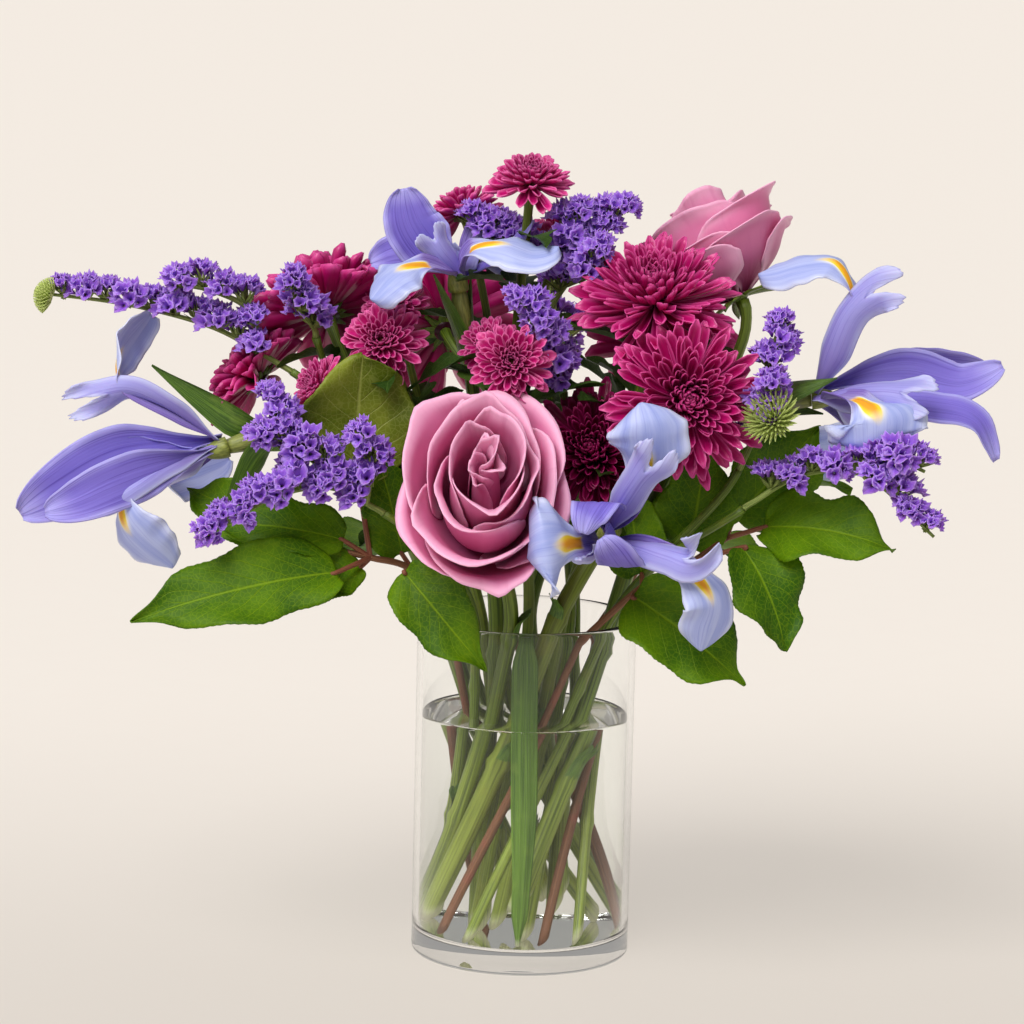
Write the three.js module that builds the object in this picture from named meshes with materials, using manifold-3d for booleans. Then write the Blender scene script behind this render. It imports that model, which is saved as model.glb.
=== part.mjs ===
// A vase of cut flowers: irises with roses, chrysanthemums, statice and salal leaves, standing in a clear
// glass cylinder of water. Units are millimetres, +Z is up, and the bouquet is seen from -Y with +X to the
// right. The origin is the centre of the vase's foot, on the table.
import * as THREE from "three";
import { mergeVertices } from "three/addons/utils/BufferGeometryUtils.js";
import Module from "manifold-3d";

const wasm = await Module();
wasm.setup();

// ---- Driving dimensions -------------------------------------------------------------------------------

const vase = { radius: 51, height: 160, wall: 3, floor: 10, lip: 1, inCorner: 4, sides: 32 };
const waterLevel = 113;
const gap = 0.3; // clearance between two pieces that touch
const rimBend = 152; // height where a stem leaves its straight line through the vase

// Stems lean in two nested spirals: each runs straight from its cut foot to the opposite side of the rim.
const spirals = {
  outer: { footRadius: 36, rimRadius: 37.5, twist: 100 },
  inner: { footRadius: 16, rimRadius: 20, twist: 80 },
};
const footHeight = 14;

const finishes = {
  glass: { color: 0xe6efee, roughness: 0.03, metalness: 0, transparent: true, opacity: 0.35 },
  water: { color: 0xdde8e4, roughness: 0.02, metalness: 0, transparent: true, opacity: 0.4 },
  stem: { color: 0x5f7d34, roughness: 0.55, metalness: 0 },
  leaf: { color: 0x3d6b12, roughness: 0.4, metalness: 0 },
  iris: { color: 0x8580d6, roughness: 0.6, metalness: 0 },
  rose: { color: 0xc0749f, roughness: 0.65, metalness: 0 },
  mum: { color: 0xa51d5c, roughness: 0.6, metalness: 0 },
  button: { color: 0xb02367, roughness: 0.6, metalness: 0 },
  statice: { color: 0x6a45b4, roughness: 0.8, metalness: 0 },
};

// ---- Solids -------------------------------------------------------------------------------------------

const radians = THREE.MathUtils.degToRad;
const vec = (xyz) => new THREE.Vector3(...xyz);

// A closed three.js geometry as a solid, with its faces turned outwards.
function solidOf(geometry) {
  const bare = geometry.index ? geometry.toNonIndexed() : geometry.clone();
  bare.deleteAttribute("normal");
  bare.deleteAttribute("uv");
  const merged = mergeVertices(bare, 1e-3);
  return solidFrom(merged.attributes.position.array, merged.index.array);
}

function solidFrom(vertices, triangles) {
  const vertProperties = new Float32Array(vertices);
  const triVerts = new Uint32Array(triangles);
  const made = new wasm.Manifold(new wasm.Mesh({ numProp: 3, vertProperties, triVerts }));
  if (made.volume() > 0) return made;
  for (let i = 0; i < triVerts.length; i += 3)
    [triVerts[i + 1], triVerts[i + 2]] = [triVerts[i + 2], triVerts[i + 1]];
  return new wasm.Manifold(new wasm.Mesh({ numProp: 3, vertProperties, triVerts }));
}

function geometryOf(solid) {
  const mesh = solid.getMesh();
  const positions = new THREE.BufferAttribute(new Float32Array(mesh.vertProperties), 3);
  return new THREE.BufferGeometry()
    .setAttribute("position", positions)
    .setIndex(new THREE.BufferAttribute(mesh.triVerts, 1));
}

// Joins the parts of one piece, keeps its one body and drops loose scraps and sealed hollows.
function fused(parts) {
  const bodies = wasm.Manifold.union(parts).simplify(0.1).decompose();
  return bodies.reduce((most, body) => (body.volume() > most.volume() ? body : most));
}

const moved = (solid, matrix) => solid.transform(matrix.elements);

// ---- The bouquet, and keeping its pieces clear of each other ------------------------------------------

const bouquet = new THREE.Group();
const placed = new Map(); // each piece's solid and box, and the heart of each bloom until it has petals

const keepClear = (name, solid) => placed.set(name, { solid, box: solid.boundingBox() });

function addPiece(name, solid, finish) {
  const mesh = new THREE.Mesh(geometryOf(solid), new THREE.MeshStandardMaterial(finish));
  mesh.name = name;
  bouquet.add(mesh);
  keepClear(name, solid);
}

const boxesMeet = (a, b) =>
  [0, 1, 2].every((k) => a.min[k] - gap < b.max[k] && b.min[k] - gap < a.max[k]);

// Whether a part of the piece called own keeps its distance from every other piece.
function isClear(solid, own) {
  const box = solid.boundingBox();
  return [...placed].every(
    ([name, other]) =>
      name === own || !boxesMeet(box, other.box) || solid.minGap(other.solid, gap) > gap * 0.8,
  );
}

// The first clear form of a part, from its natural form to the most bent or shortened one. Where none is
// clear, a part that has to be there takes its natural form, and any other is left out.
function firstClear(own, forms, isNeeded = false) {
  for (const form of forms) {
    const solid = form();
    if (isClear(solid, own)) return [solid];
  }
  return isNeeded ? [forms[0]()] : [];
}

// ---- Shapes -------------------------------------------------------------------------------------------

// A frame whose z axis runs along facing. Seen from in front of the flower, azimuth 0 is to the right of
// the viewer and 90 is up.
function frameAt(origin, facing) {
  const z = vec(facing).normalize();
  const up = new THREE.Vector3(0, 0, 1);
  const side = Math.abs(z.z) > 0.99 ? new THREE.Vector3(1, 0, 0) : up.cross(z).normalize();
  const y = new THREE.Vector3().crossVectors(z, side);
  return new THREE.Matrix4().makeBasis(side, y, z).setPosition(...origin);
}

const turned = (frame, degrees) =>
  frame.clone().multiply(new THREE.Matrix4().makeRotationZ(radians(degrees)));

// A thin closed blade. surface(t, s) gives its middle point and normal, with t from root to tip and s from
// -1 to 1 across. Both faces share their edge points and are split into triangles alike.
function blade(rows, columns, surface, thickness = 0.9) {
  const points = [];
  const keep = (point) => points.push(point.x, point.y, point.z) / 3 - 1;
  const top = [];
  const under = [];
  for (let i = 0; i <= rows; i++) {
    top.push([]);
    under.push([]);
    for (let j = 0; j <= columns; j++) {
      if (i === rows && j > 0) {
        top[i].push(top[i][0]);
        under[i].push(top[i][0]);
        continue;
      }
      const across = i === rows ? 0 : -1 + (2 * j) / columns;
      const { point, normal } = surface(i / rows, across);
      const isEdge = j === 0 || j === columns || i === rows;
      const half = isEdge ? 0 : thickness / 2;
      top[i].push(keep(point.clone().addScaledVector(normal, half)));
      under[i].push(isEdge ? top[i][j] : keep(point.clone().addScaledVector(normal, -half)));
    }
  }
  const faces = [];
  const face = (a, b, c) => a !== b && b !== c && a !== c && faces.push(a, b, c);
  for (let j = 0; j < columns; j++) {
    face(top[0][j], top[0][j + 1], under[0][j + 1]);
    face(top[0][j], under[0][j + 1], under[0][j]);
    for (let i = 0; i < rows; i++) {
      face(top[i][j], top[i + 1][j], top[i + 1][j + 1]);
      face(top[i][j], top[i + 1][j + 1], top[i][j + 1]);
      face(under[i][j], under[i + 1][j + 1], under[i + 1][j]);
      face(under[i][j], under[i][j + 1], under[i + 1][j + 1]);
    }
  }
  return solidFrom(points, faces);
}

// A petal's path from root [r, z], at angleAt(t) degrees from the flower's axis. Returns t -> its point, its
// direction across and its inward normal.
function petalPath(root, length, angleAt) {
  const steps = 48;
  const directionAt = (t) => {
    const angle = radians(angleAt(t));
    return new THREE.Vector3(Math.sin(angle), 0, Math.cos(angle));
  };
  const samples = [new THREE.Vector3(root[0], 0, root[1])];
  for (let k = 1; k <= steps; k++)
    samples.push(samples[k - 1].clone().addScaledVector(directionAt((k - 0.5) / steps), length / steps));
  return (t) => {
    const ahead = directionAt(t);
    const angle = radians(angleAt(t));
    const inward = new THREE.Vector3(-Math.cos(angle), 0, Math.sin(angle));
    const across = new THREE.Vector3().crossVectors(inward, ahead);
    return { point: samples[Math.round(t * steps)].clone(), across, inward };
  };
}

// A ribbon's path: along a smooth curve through its points, with its face turned as faces say. The share
// bend of its length comes at t = 0.46.
function ribbonPath({ points, faces, bend = 0.46 }) {
  const curve = smoothCurve(points);
  return (t) => {
    const share = t < 0.46 ? (bend * t) / 0.46 : bend + ((1 - bend) * (t - 0.46)) / 0.54;
    const ahead = curve.getTangentAt(share);
    const place = curve.getUtoTmapping(share) * (faces.length - 1);
    const k = Math.min(Math.floor(place), faces.length - 2);
    const inward = vec(faces[k]).lerp(vec(faces[k + 1]), place - k);
    inward.addScaledVector(ahead, -inward.dot(ahead)).normalize();
    const across = new THREE.Vector3().crossVectors(inward, ahead);
    return { point: curve.getPointAt(share), across, inward };
  };
}

// A petal as a blade along its path, cupped towards its inner face by cup.
function petal(path, { halfWidth, cup, rows, columns }) {
  return blade(rows, columns, (t, s) => {
    const { point, across, inward } = path(t);
    point.addScaledVector(across, halfWidth(t) * s).addScaledVector(inward, cup(t) * s * s);
    return { point, normal: inward };
  });
}

// A small petal of six faces, from a point in its bloom's core through its widest place to its tip: flat
// above, with a keel below.
function spike({ root, length, angleAt, halfWidth, depth }) {
  const path = petalPath(root, length, angleAt);
  const { point, across, inward } = path(0.625);
  const left = point.clone().addScaledVector(across, -halfWidth);
  const right = point.clone().addScaledVector(across, halfWidth);
  const keel = point.addScaledVector(inward, -depth);
  const corners = [path(0).point, left, right, keel, path(1).point];
  const faces = [0, 2, 1, 0, 3, 2, 0, 1, 3, 4, 1, 2, 4, 2, 3, 4, 3, 1];
  return solidFrom(corners.flatMap((corner) => corner.toArray()), faces);
}

const smoothCurve = (points) =>
  new THREE.CatmullRomCurve3(points.map(vec), false, "centripetal");

function tube(curve, radius, sides = 6, spacing = 26) {
  const steps = Math.max(1, Math.round(curve.getLength() / spacing));
  const section = new THREE.Shape();
  for (let k = 0; k < sides; k++) {
    const angle = (2 * Math.PI * k) / sides;
    section[k ? "lineTo" : "moveTo"](radius * Math.cos(angle), radius * Math.sin(angle));
  }
  section.closePath();
  return solidOf(
    new THREE.ExtrudeGeometry(section, { steps, extrudePath: curve, bevelEnabled: false }),
  );
}

function lathe(profile, segments) {
  return solidOf(
    new THREE.LatheGeometry(profile.map(([r, z]) => new THREE.Vector2(r, z)), segments),
  ).rotate([90, 0, 0]);
}

// ---- How stems run ------------------------------------------------------------------------------------

const polar = (radius, degrees, z) => [
  radius * Math.cos(radians(degrees)),
  radius * Math.sin(radians(degrees)),
  z,
];

// The straight part of a stem, from its cut foot to the bend at the rim.
function lineInVase({ ring, angle, foot = footHeight }) {
  const { footRadius, rimRadius, twist } = spirals[ring];
  const start = vec(polar(footRadius, angle - twist, foot));
  const end = vec(polar(rimRadius, angle, rimBend));
  return { start, end, direction: end.clone().sub(start).normalize() };
}

// A stretch of stem from one point to another, leaving and arriving along the given vectors.
const stretch = (from, leaving, to, arriving) =>
  new THREE.CubicBezierCurve3(from, from.clone().add(leaving), to.clone().sub(arriving), to);

const arrival = ({ facing, reach = 36 }, share) =>
  vec(facing).normalize().multiplyScalar(reach * share);

// Ways for a stem to bend, as shares of how far it goes straight on at its start and its end.
const ways = [[1, 1], [0.6, 1], [1.4, 1], [1, 0.6], [0.5, 0.6], [1.4, 0.6], [1.8, 1], [1, 1.5], [2, 0.5]];

// A whole stem: its straight line through the vase and its bend above the rim to a head.
function stemForms({ slot, radius, head, sides, rise = 32 }) {
  const { start, end: rim, direction } = lineInVase(slot);
  return ways.map(([leave, arrive]) => {
    const leaving = direction.clone().multiplyScalar(rise * leave);
    const bend = stretch(rim, leaving, vec(head.end), arrival(head, arrive));
    const solid = () => tube(joined(new THREE.LineCurve3(start, rim), bend), radius, sides, 27);
    return { bend, solid };
  });
}

function joined(...curves) {
  const path = new THREE.CurvePath();
  curves.forEach((curve) => path.add(curve));
  return path;
}

const holes = []; // straight bores that the stems stand in, cut from the water

function boreFor(slot, radius) {
  const { start, direction } = lineInVase(slot);
  const from = start.clone().addScaledVector(direction, -0.6);
  const to = start.clone().addScaledVector(direction, 118);
  const sides = radius > 3 ? 6 : 5;
  const clear = (radius + gap + 0.05) / Math.cos(Math.PI / sides);
  holes.push(tube(new THREE.LineCurve3(from, to), clear, sides, 400));
}

// A branch that leaves a stem's bend at share u of its length and meets its own head.
function branchForms(bend, u, head, radius, rise = 20) {
  const from = bend.getPointAt(u);
  return ways.map(([leave, arrive]) => () => {
    const leaving = bend.getTangentAt(u).multiplyScalar(rise * leave);
    return tube(stretch(from, leaving, vec(head.end), arrival(head, arrive)), radius, 4, 22);
  });
}

// Where a stem ends so that a bloom seats on it, a gap below its base, or inside an iris's ovary.
const seat = ({ base, facing, reach, spathe }) => {
  const below = spathe ? ovary.length - 4 : gap;
  return { end: vec(base).addScaledVector(vec(facing).normalize(), -below).toArray(), facing, reach };
};

// A stem with a branch to each head after the first, and its bore in the water.
function stemParts(name, { ring, angle, radius, sides = 5 }, heads) {
  const slot = { ring, angle };
  const forms = stemForms({ slot, radius, head: heads[0], sides });
  const chosen = forms.find(({ solid }) => isClear(solid(), name)) ?? forms[0];
  const parts = [chosen.solid()];
  heads.slice(1).forEach((head, k) => {
    const branchFrom = (u) => branchForms(chosen.bend, u + 0.1 * k, head, radius * 0.75);
    parts.push(...firstClear(name, [0.35, 0.2, 0.5, 0.65].flatMap(branchFrom), true));
  });
  boreFor(slot, radius);
  return parts;
}

// ---- Blooms: their places, the way they face and their sizes ------------------------------------------

// base is worked out from centre, the middle of the bloom as it is seen.
const bloomAt = (centre, facing, radius, depth, reach) => ({
  base: vec(centre).addScaledVector(vec(facing).normalize(), -depth * radius).toArray(),
  facing,
  radius,
  reach,
});

const roses = {
  rose_front: bloomAt([-20, -76, 222], [-0.02, -0.78, 0.62], 42, 0.62, 20),
  rose_back: bloomAt([84, 35, 327], [-0.5, 0.25, 0.83], 34, 0.75),
};

const mums = {
  mum_top: bloomAt([54, -28, 316], [-0.1, -0.55, 0.83], 38, 0.3),
  mum_front: bloomAt([69, -62, 270], [0.1, -0.97, 0.2], 37, 0.3, 24),
  mum_dark: bloomAt([27, -32, 243], [-0.1, -0.93, 0.36], 32, 0.3, 20),
  mum_left: bloomAt([-98, 25, 302], [-0.25, 0.62, 0.74], 36, 0.3),
  mum_far_left: bloomAt([-131, 8, 270], [-0.75, 0.25, 0.6], 26, 0.3),
  mum_back_right: bloomAt([66, 74, 282], [0.35, 0.75, 0.55], 36, 0.3),
  mum_back_left: bloomAt([-45, 82, 288], [-0.25, 0.85, 0.45], 37, 0.3),
};

const buttons = {
  button_left: bloomAt([-69, -27, 289], [-0.15, -0.9, 0.4], 20, 0.3, 18),
  button_side: bloomAt([-99, -22, 267], [-0.8, -0.45, 0.4], 17, 0.3, 20),
  button_under_iris: bloomAt([-66, 6, 304], [-0.25, -0.6, 0.75], 17, 0.3, 18),
  button_crown: bloomAt([-3, 0, 358], [0.05, -0.4, 0.91], 20.5, 0.3),
  button_crown_left: bloomAt([-35, 32, 346], [-0.3, 0.45, 0.84], 18.5, 0.3),
  button_crown_back: bloomAt([12, 38, 334], [0.25, 0.4, 0.88], 19, 0.3),
  button_centre: bloomAt([-10, -47, 283], [0, -0.95, 0.3], 19.5, 0.3, 22),
  button_inner: bloomAt([-20, -16, 287], [-0.1, -0.85, 0.5], 15, 0.3, 15),
};

// A petal of an iris that has its own place is a ribbon: it runs through points from its root to its tip,
// and its upper face looks along faces there. half is its half width, and bend the share of its length
// where a fall's blade starts. The other petals stand at turn about the flower's axis, and open or lean is
// their angle from that axis.
const irises = {
  iris_left: {
    base: [-139, -20, 238],
    facing: [-0.93, -0.2, -0.28],
    reach: 45,
    ribbons: [
      {
        kind: "fall", half: 12, bend: 0.58,
        points: [
          [-141, -20, 240], [-162, -24, 253], [-183, -26, 264], [-189, -24, 272], [-187, -16, 283],
          [-176, -6, 297],
        ],
        faces: [
          [-0.4, -0.1, -0.9], [-0.45, -0.1, -0.9], [-0.7, -0.1, -0.5], [-1, 0.1, 0.1],
          [-0.8, 0.6, 0.2], [-0.6, 0.7, 0.4],
        ],
      },
      {
        kind: "style", half: 8,
        points: [
          [-143, -22, 241], [-165, -28, 256], [-183, -32, 264], [-198, -34, 261], [-212, -34, 256],
        ],
        faces: [
          [-0.3, -0.5, -0.8], [-0.3, -0.5, -0.8], [-0.1, -0.9, -0.3], [0, -1, 0.1], [0, -1, 0.1],
        ],
      },
      {
        kind: "fall", half: 17, bend: 0.52,
        points: [
          [-141, -20, 238], [-160, -26, 230], [-177, -34, 224], [-185, -40, 216], [-183, -42, 204],
          [-174, -40, 193], [-162, -36, 184],
        ],
        faces: [
          [-0.3, 0, 0.9], [-0.3, 0, 0.9], [-0.5, -0.2, 0.8], [-0.9, -0.4, 0.3], [-0.75, -0.65, 0],
          [-0.6, -0.75, -0.3], [-0.4, -0.8, -0.4],
        ],
      },
      {
        kind: "style", half: 7,
        points: [
          [-144, -24, 239], [-164, -34, 232], [-179, -44, 223], [-190, -46, 217], [-202, -46, 214],
        ],
        faces: [
          [0, -0.4, 0.9], [0, -0.5, 0.85], [0, -0.7, 0.7], [0, -0.9, 0.4], [0, -1, 0.3],
        ],
      },
      {
        kind: "standard", half: 16,
        points: [
          [-142, -16, 241], [-167, -24, 237], [-191, -32, 231], [-213, -38, 219], [-231, -40, 208],
        ],
        faces: [
          [0.1, -0.9, 0.3], [0, -0.95, 0.3], [0, -1, 0.1], [0, -1, 0.1], [0, -1, 0.1],
        ],
      },
      {
        kind: "standard", half: 12,
        points: [
          [-144, -22, 238], [-166, -36, 231], [-188, -46, 223], [-205, -48, 215], [-219, -46, 210],
        ],
        faces: [
          [0.1, -0.9, -0.2], [0, -0.95, -0.1], [0, -1, 0.1], [0, -1, 0.3], [0, -1, 0.3],
        ],
      },
    ],
    falls: [{ turn: 195, open: 55 }],
    standards: [{ turn: 150, lean: 8 }],
    standardLength: 86,
    spathe: { turn: 112, length: 68, lean: 50 },
  },
  iris_top: {
    base: [-35, -5, 311],
    facing: [-0.15, -0.2, 0.96],
    reach: 40,
    ribbons: [
      {
        kind: "standard", half: 14,
        points: [
          [-34, -5, 316], [-46, -8, 327], [-57, -10, 341], [-61, -8, 357],
        ],
        faces: [
          [0.2, -0.9, 0.3], [0.2, -0.9, 0.2], [0.3, -0.9, 0], [0.3, -0.9, -0.1],
        ],
      },
      {
        kind: "standard", half: 10,
        points: [
          [-36, -2, 316], [-50, 2, 324], [-64, 6, 326], [-76, 8, 321],
        ],
        faces: [
          [0.2, -0.9, 0.4], [0.1, -0.9, 0.4], [0, -0.9, 0.4], [0, -0.9, 0.4],
        ],
      },
      {
        kind: "style", half: 8,
        points: [
          [-33, -8, 318], [-42, -16, 329], [-50, -18, 340],
        ],
        faces: [
          [0.3, -0.9, 0.2], [0.3, -0.9, 0.1], [0.3, -0.9, 0],
        ],
      },
      {
        kind: "fall", half: 15, bend: 0.45,
        points: [
          [-34, -10, 317], [-45, -22, 322], [-56, -30, 324], [-66, -36, 319], [-74, -38, 309],
        ],
        faces: [
          [0, -0.4, 0.9], [0, -0.5, 0.85], [-0.2, -0.5, 0.8], [-0.4, -0.5, 0.7], [-0.5, -0.5, 0.6],
        ],
      },
      {
        kind: "fall", half: 13, bend: 0.28,
        points: [
          [-33, -8, 318], [-31, -14, 327], [-25, -20, 333], [-13, -26, 334], [-1, -30, 331],
          [10, -30, 334],
        ],
        faces: [
          [-0.9, -0.3, 0.1], [-0.8, -0.3, 0.5], [-0.2, -0.4, 0.9], [0.1, -0.45, 0.85],
          [0.1, -0.5, 0.85], [0, -0.5, 0.85],
        ],
      },
    ],
    falls: [{ turn: 105, open: 62 }],
    standards: [{ turn: 60, lean: 66 }],
    standardLength: 44,
    spathe: { turn: 250, length: 40, lean: 14 },
  },
  iris_right: {
    base: [127, -25, 267],
    facing: [0.99, -0.05, 0.1],
    reach: 45,
    ribbons: [
      {
        kind: "fall", half: 13, bend: 0.5,
        points: [
          [129.5, -26, 269], [132, -30, 286], [139, -34, 302], [142, -36, 318], [135, -34, 330],
          [122, -30, 330], [110, -26, 326], [101, -22, 323],
        ],
        faces: [
          [0.9, -0.2, -0.2], [0.9, -0.3, 0.1], [0.9, -0.3, 0.2], [0.7, -0.3, 0.6], [0.1, -0.35, 0.93],
          [-0.2, -0.4, 0.9], [-0.3, -0.4, 0.85], [-0.4, -0.4, 0.8],
        ],
      },
      {
        kind: "style", half: 10,
        points: [
          [128, -28, 269], [134, -38, 289], [141, -44, 308], [152, -48, 319], [165, -50, 322],
        ],
        faces: [
          [-0.4, -0.9, 0], [-0.4, -0.9, 0], [-0.3, -0.9, 0.2], [0, -0.9, 0.4], [0.1, -0.9, 0.4],
        ],
      },
      {
        kind: "style", half: 11,
        points: [
          [127, -32, 268], [143, -44, 273], [157, -52, 275], [169, -56, 274], [179, -58, 271],
        ],
        faces: [
          [0, -0.7, 0.7], [0, -0.75, 0.65], [0, -0.8, 0.6], [0, -0.85, 0.5], [0, -0.9, 0.4],
        ],
      },
      {
        kind: "standard", half: 11,
        points: [
          [129, -20, 269], [149, -22, 277], [171, -24, 280], [194, -26, 276], [213, -26, 284],
        ],
        faces: [
          [0, -0.9, 0.4], [0, -0.9, 0.4], [0, -0.9, 0.3], [0, -0.85, 0.5], [0, -0.9, 0.4],
        ],
      },
      {
        kind: "standard", half: 9,
        points: [
          [130, -24, 267], [153, -34, 266], [179, -38, 266], [200, -38, 261], [210, -36, 242],
        ],
        faces: [
          [0, -0.8, 0.6], [0, -0.7, 0.7], [0.1, -0.7, 0.7], [0.5, -0.7, 0.5], [0.8, -0.6, 0.1],
        ],
      },
      {
        kind: "fall", half: 23, bend: 0.5,
        points: [
          [131, -29, 266], [136, -44, 270], [147, -58, 270], [153, -66, 265], [154, -66, 255],
          [156, -60, 246],
        ],
        faces: [
          [0, 0.2, 1], [0, 0, 1], [0, -0.5, 0.85], [0, -0.9, 0.4], [0, -1, 0.1], [0, -1, -0.2],
        ],
      },
    ],
    falls: [{ turn: 325, open: 60 }],
    standards: [{ turn: 20, lean: 14 }],
    standardLength: 80,
    spathe: { turn: 140, length: 42, lean: 20 },
  },
  iris_front: {
    base: [35, -54, 207],
    facing: [-0.12, -0.98, 0.02],
    reach: 20,
    ribbons: [
      {
        kind: "fall", half: 22, bend: 0.5,
        points: [
          [32, -58, 205], [24, -80, 207], [16, -92, 208], [9, -95, 207], [4, -88, 204], [2, -78, 200],
        ],
        faces: [
          [0, -0.9, 0.3], [-0.1, -0.95, 0.2], [-0.1, -1, 0.1], [-0.3, -0.9, 0.1], [-0.8, -0.6, 0],
          [-0.9, -0.4, 0],
        ],
      },
      {
        kind: "fall", half: 13, bend: 0.5,
        points: [
          [36, -60, 206], [49, -78, 205], [63, -88, 201], [74, -95, 195], [81, -96, 184],
          [79, -92, 172], [77, -86, 161],
        ],
        faces: [
          [0, -0.9, 0.4], [0, -0.9, 0.4], [0.1, -0.9, 0.4], [0.4, -0.85, 0.4], [0.5, -0.85, 0.2],
          [0.3, -0.95, 0], [0.2, -0.95, -0.2],
        ],
      },
      {
        kind: "fall", half: 18, bend: 0.5,
        points: [
          [34, -60, 208], [41, -74, 222], [48, -86, 238], [51, -94, 251], [50, -97, 263],
          [47, -92, 272],
        ],
        faces: [
          [-0.1, -0.9, -0.2], [0, -0.95, -0.2], [0, -1, 0], [0, -1, 0], [0, -0.95, 0.3],
          [0, -0.85, 0.5],
        ],
      },
      {
        kind: "style", half: 10,
        points: [
          [37, -66, 207], [49, -88, 208], [61, -98, 206], [71, -104, 205], [79, -106, 215],
        ],
        faces: [
          [0.1, -0.8, 0.6], [0.1, -0.8, 0.6], [0.1, -0.85, 0.5], [0.2, -0.9, 0.3], [0.5, -0.85, 0],
        ],
      },
      {
        kind: "style", half: 10,
        points: [
          [34, -68, 210], [40, -84, 225], [47, -97, 239], [53, -104, 248], [57, -104, 256],
        ],
        faces: [
          [-0.2, -0.95, 0], [-0.2, -0.95, 0], [-0.1, -1, 0], [0, -1, 0], [0.2, -0.95, 0.1],
        ],
      },
      {
        kind: "style", half: 9,
        points: [
          [34, -62, 202], [30, -82, 204], [25, -98, 206],
        ],
        faces: [
          [-0.3, -0.8, 0.5], [-0.3, -0.8, 0.5], [-0.4, -0.9, 0.2],
        ],
      },
      {
        kind: "standard", half: 11,
        points: [
          [35, -60, 209], [33, -76, 222], [29, -94, 228], [25, -106, 224], [23, -108, 216],
        ],
        faces: [
          [0, 0, -1], [0, -0.3, -0.9], [0, 0, -1], [0, 1, -0.3], [0, 1, 0],
        ],
      },
      {
        kind: "standard", half: 11,
        points: [
          [39, -60, 196], [41, -82, 197], [39, -98, 202], [34, -106, 210], [31, -106, 214],
        ],
        faces: [
          [0, 0, 1], [0, 0, 1], [0, 0.4, 0.9], [0, 0.9, 0.4], [0, 1, 0.1],
        ],
      },
    ],
    falls: [],
    standards: [{ turn: 20, lean: 5 }],
    standardLength: 46,
    spathe: { turn: 240, length: 30, lean: 20 },
  },
};

const blooms = { ...roses, ...mums, ...buttons, ...irises };
const ovary = { length: 26, radius: 5 };

// ---- Leaves and the stems' green parts ----------------------------------------------------------------

const ease = (t, from, to) => THREE.MathUtils.smoothstep(t, from, to);

// The green ovary below an iris, and the spathe leaf that wraps it.
function irisCollar({ base, facing, spathe }) {
  const axis = vec(facing).normalize();
  const top = vec(base).addScaledVector(axis, -gap);
  const foot = top.clone().addScaledVector(axis, -ovary.length);
  const body = tube(new THREE.LineCurve3(foot, top), ovary.radius, 6, 40);
  const leaf = petal(petalPath([1, 0], spathe.length, () => spathe.lean), {
    halfWidth: (t) => 7.5 * Math.sin(Math.PI * (0.3 + 0.7 * t)) + 0.1,
    cup: (t) => 4 * (1 - t),
    rows: 4,
    columns: 2,
  });
  return [body, moved(leaf, turned(frameAt(foot.toArray(), facing), spathe.turn))];
}

// A pointed oval leaf from base to tip, folded a little along its rib, with a toothed edge.
function leafBlade({ base, tip, normal, width, sag }) {
  const [from, to] = [vec(base), vec(tip)];
  const face = vec(normal).normalize();
  const middle = from.clone().lerp(to, 0.5).addScaledVector(face, sag * 2);
  const rib = new THREE.QuadraticBezierCurve3(from, middle, to);
  const rows = 8;
  return blade(rows, 2, (t, s) => {
    const tangent = rib.getTangent(t);
    const side = new THREE.Vector3().crossVectors(face, tangent).normalize();
    const normal = new THREE.Vector3().crossVectors(tangent, side);
    const tooth = 1 + (Math.round(t * rows) % 2 ? 0.05 : -0.05);
    const oval = Math.sin(Math.PI * Math.pow(t * 0.97 + 0.03, 0.78)) ** 0.75;
    const half = (width / 2) * tooth * oval;
    const point = rib.getPoint(t).addScaledVector(side, half * s);
    return { point: point.addScaledVector(normal, 0.14 * half * Math.abs(s)), normal };
  });
}

// A strap-shaped iris leaf that stands in the water, just behind the glass.
const strap = { foot: [-1, -44.6, 13], top: [0.5, -44.6, 157], width: 13, thickness: 1.2 };

function strapSolid({ foot, top, width, thickness }, more = 0) {
  const [from, to] = [vec(foot), vec(top)];
  from.lerp(to, (-more * 1.5) / from.distanceTo(to));
  const [x, y] = [width / 2 + more, thickness / 2 + more];
  const corners = [[-y, -x], [y, -x], [y, x], [-y, x]];
  const section = new THREE.Shape(corners.map((corner) => new THREE.Vector2(...corner)));
  const extrudePath = new THREE.LineCurve3(from, to);
  return solidOf(new THREE.ExtrudeGeometry(section, { steps: 1, extrudePath, bevelEnabled: false }));
}

// ---- Parts of the blooms ------------------------------------------------------------------------------

// How wide and how cupped each kind of iris petal is along its length: a fall has a narrow, channelled haft
// and a broad blade, a style arm roofs the haft and ends in a crest, and a standard is a tall, pointed leaf.
const petalKinds = {
  fall: (half) => ({
    halfWidth: (t) =>
      1.4 + 5.1 * ease(t, 0, 0.3) + (half - 6.5) * ease(t, 0.45, 0.7) * (1 - ease(t, 0.84, 1.08)),
    cup: (t) => 3.2 * ease(t, 0, 0.2) * (1 - ease(t, 0.4, 0.56)) - 0.3 * half * ease(t, 0.42, 0.6),
    rows: 6,
    columns: 2,
  }),
  style: (half) => ({
    halfWidth: (t) => 1.4 + (0.75 * half - 1.4) * ease(t, 0, 0.35) + 0.3 * half * ease(t, 0.6, 0.9),
    cup: (t) => -0.5 * half * ease(t, 0, 0.3) * (1 - ease(t, 0.7, 1)),
    rows: 4,
    columns: 2,
  }),
  standard: (half) => ({
    halfWidth: (t) => 1.6 + (half - 1.6) * ease(t, 0.04, 0.5) * (1 - ease(t, 0.72, 1.05)),
    cup: () => 0.22 * half,
    rows: 4,
    columns: 2,
  }),
};

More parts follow.
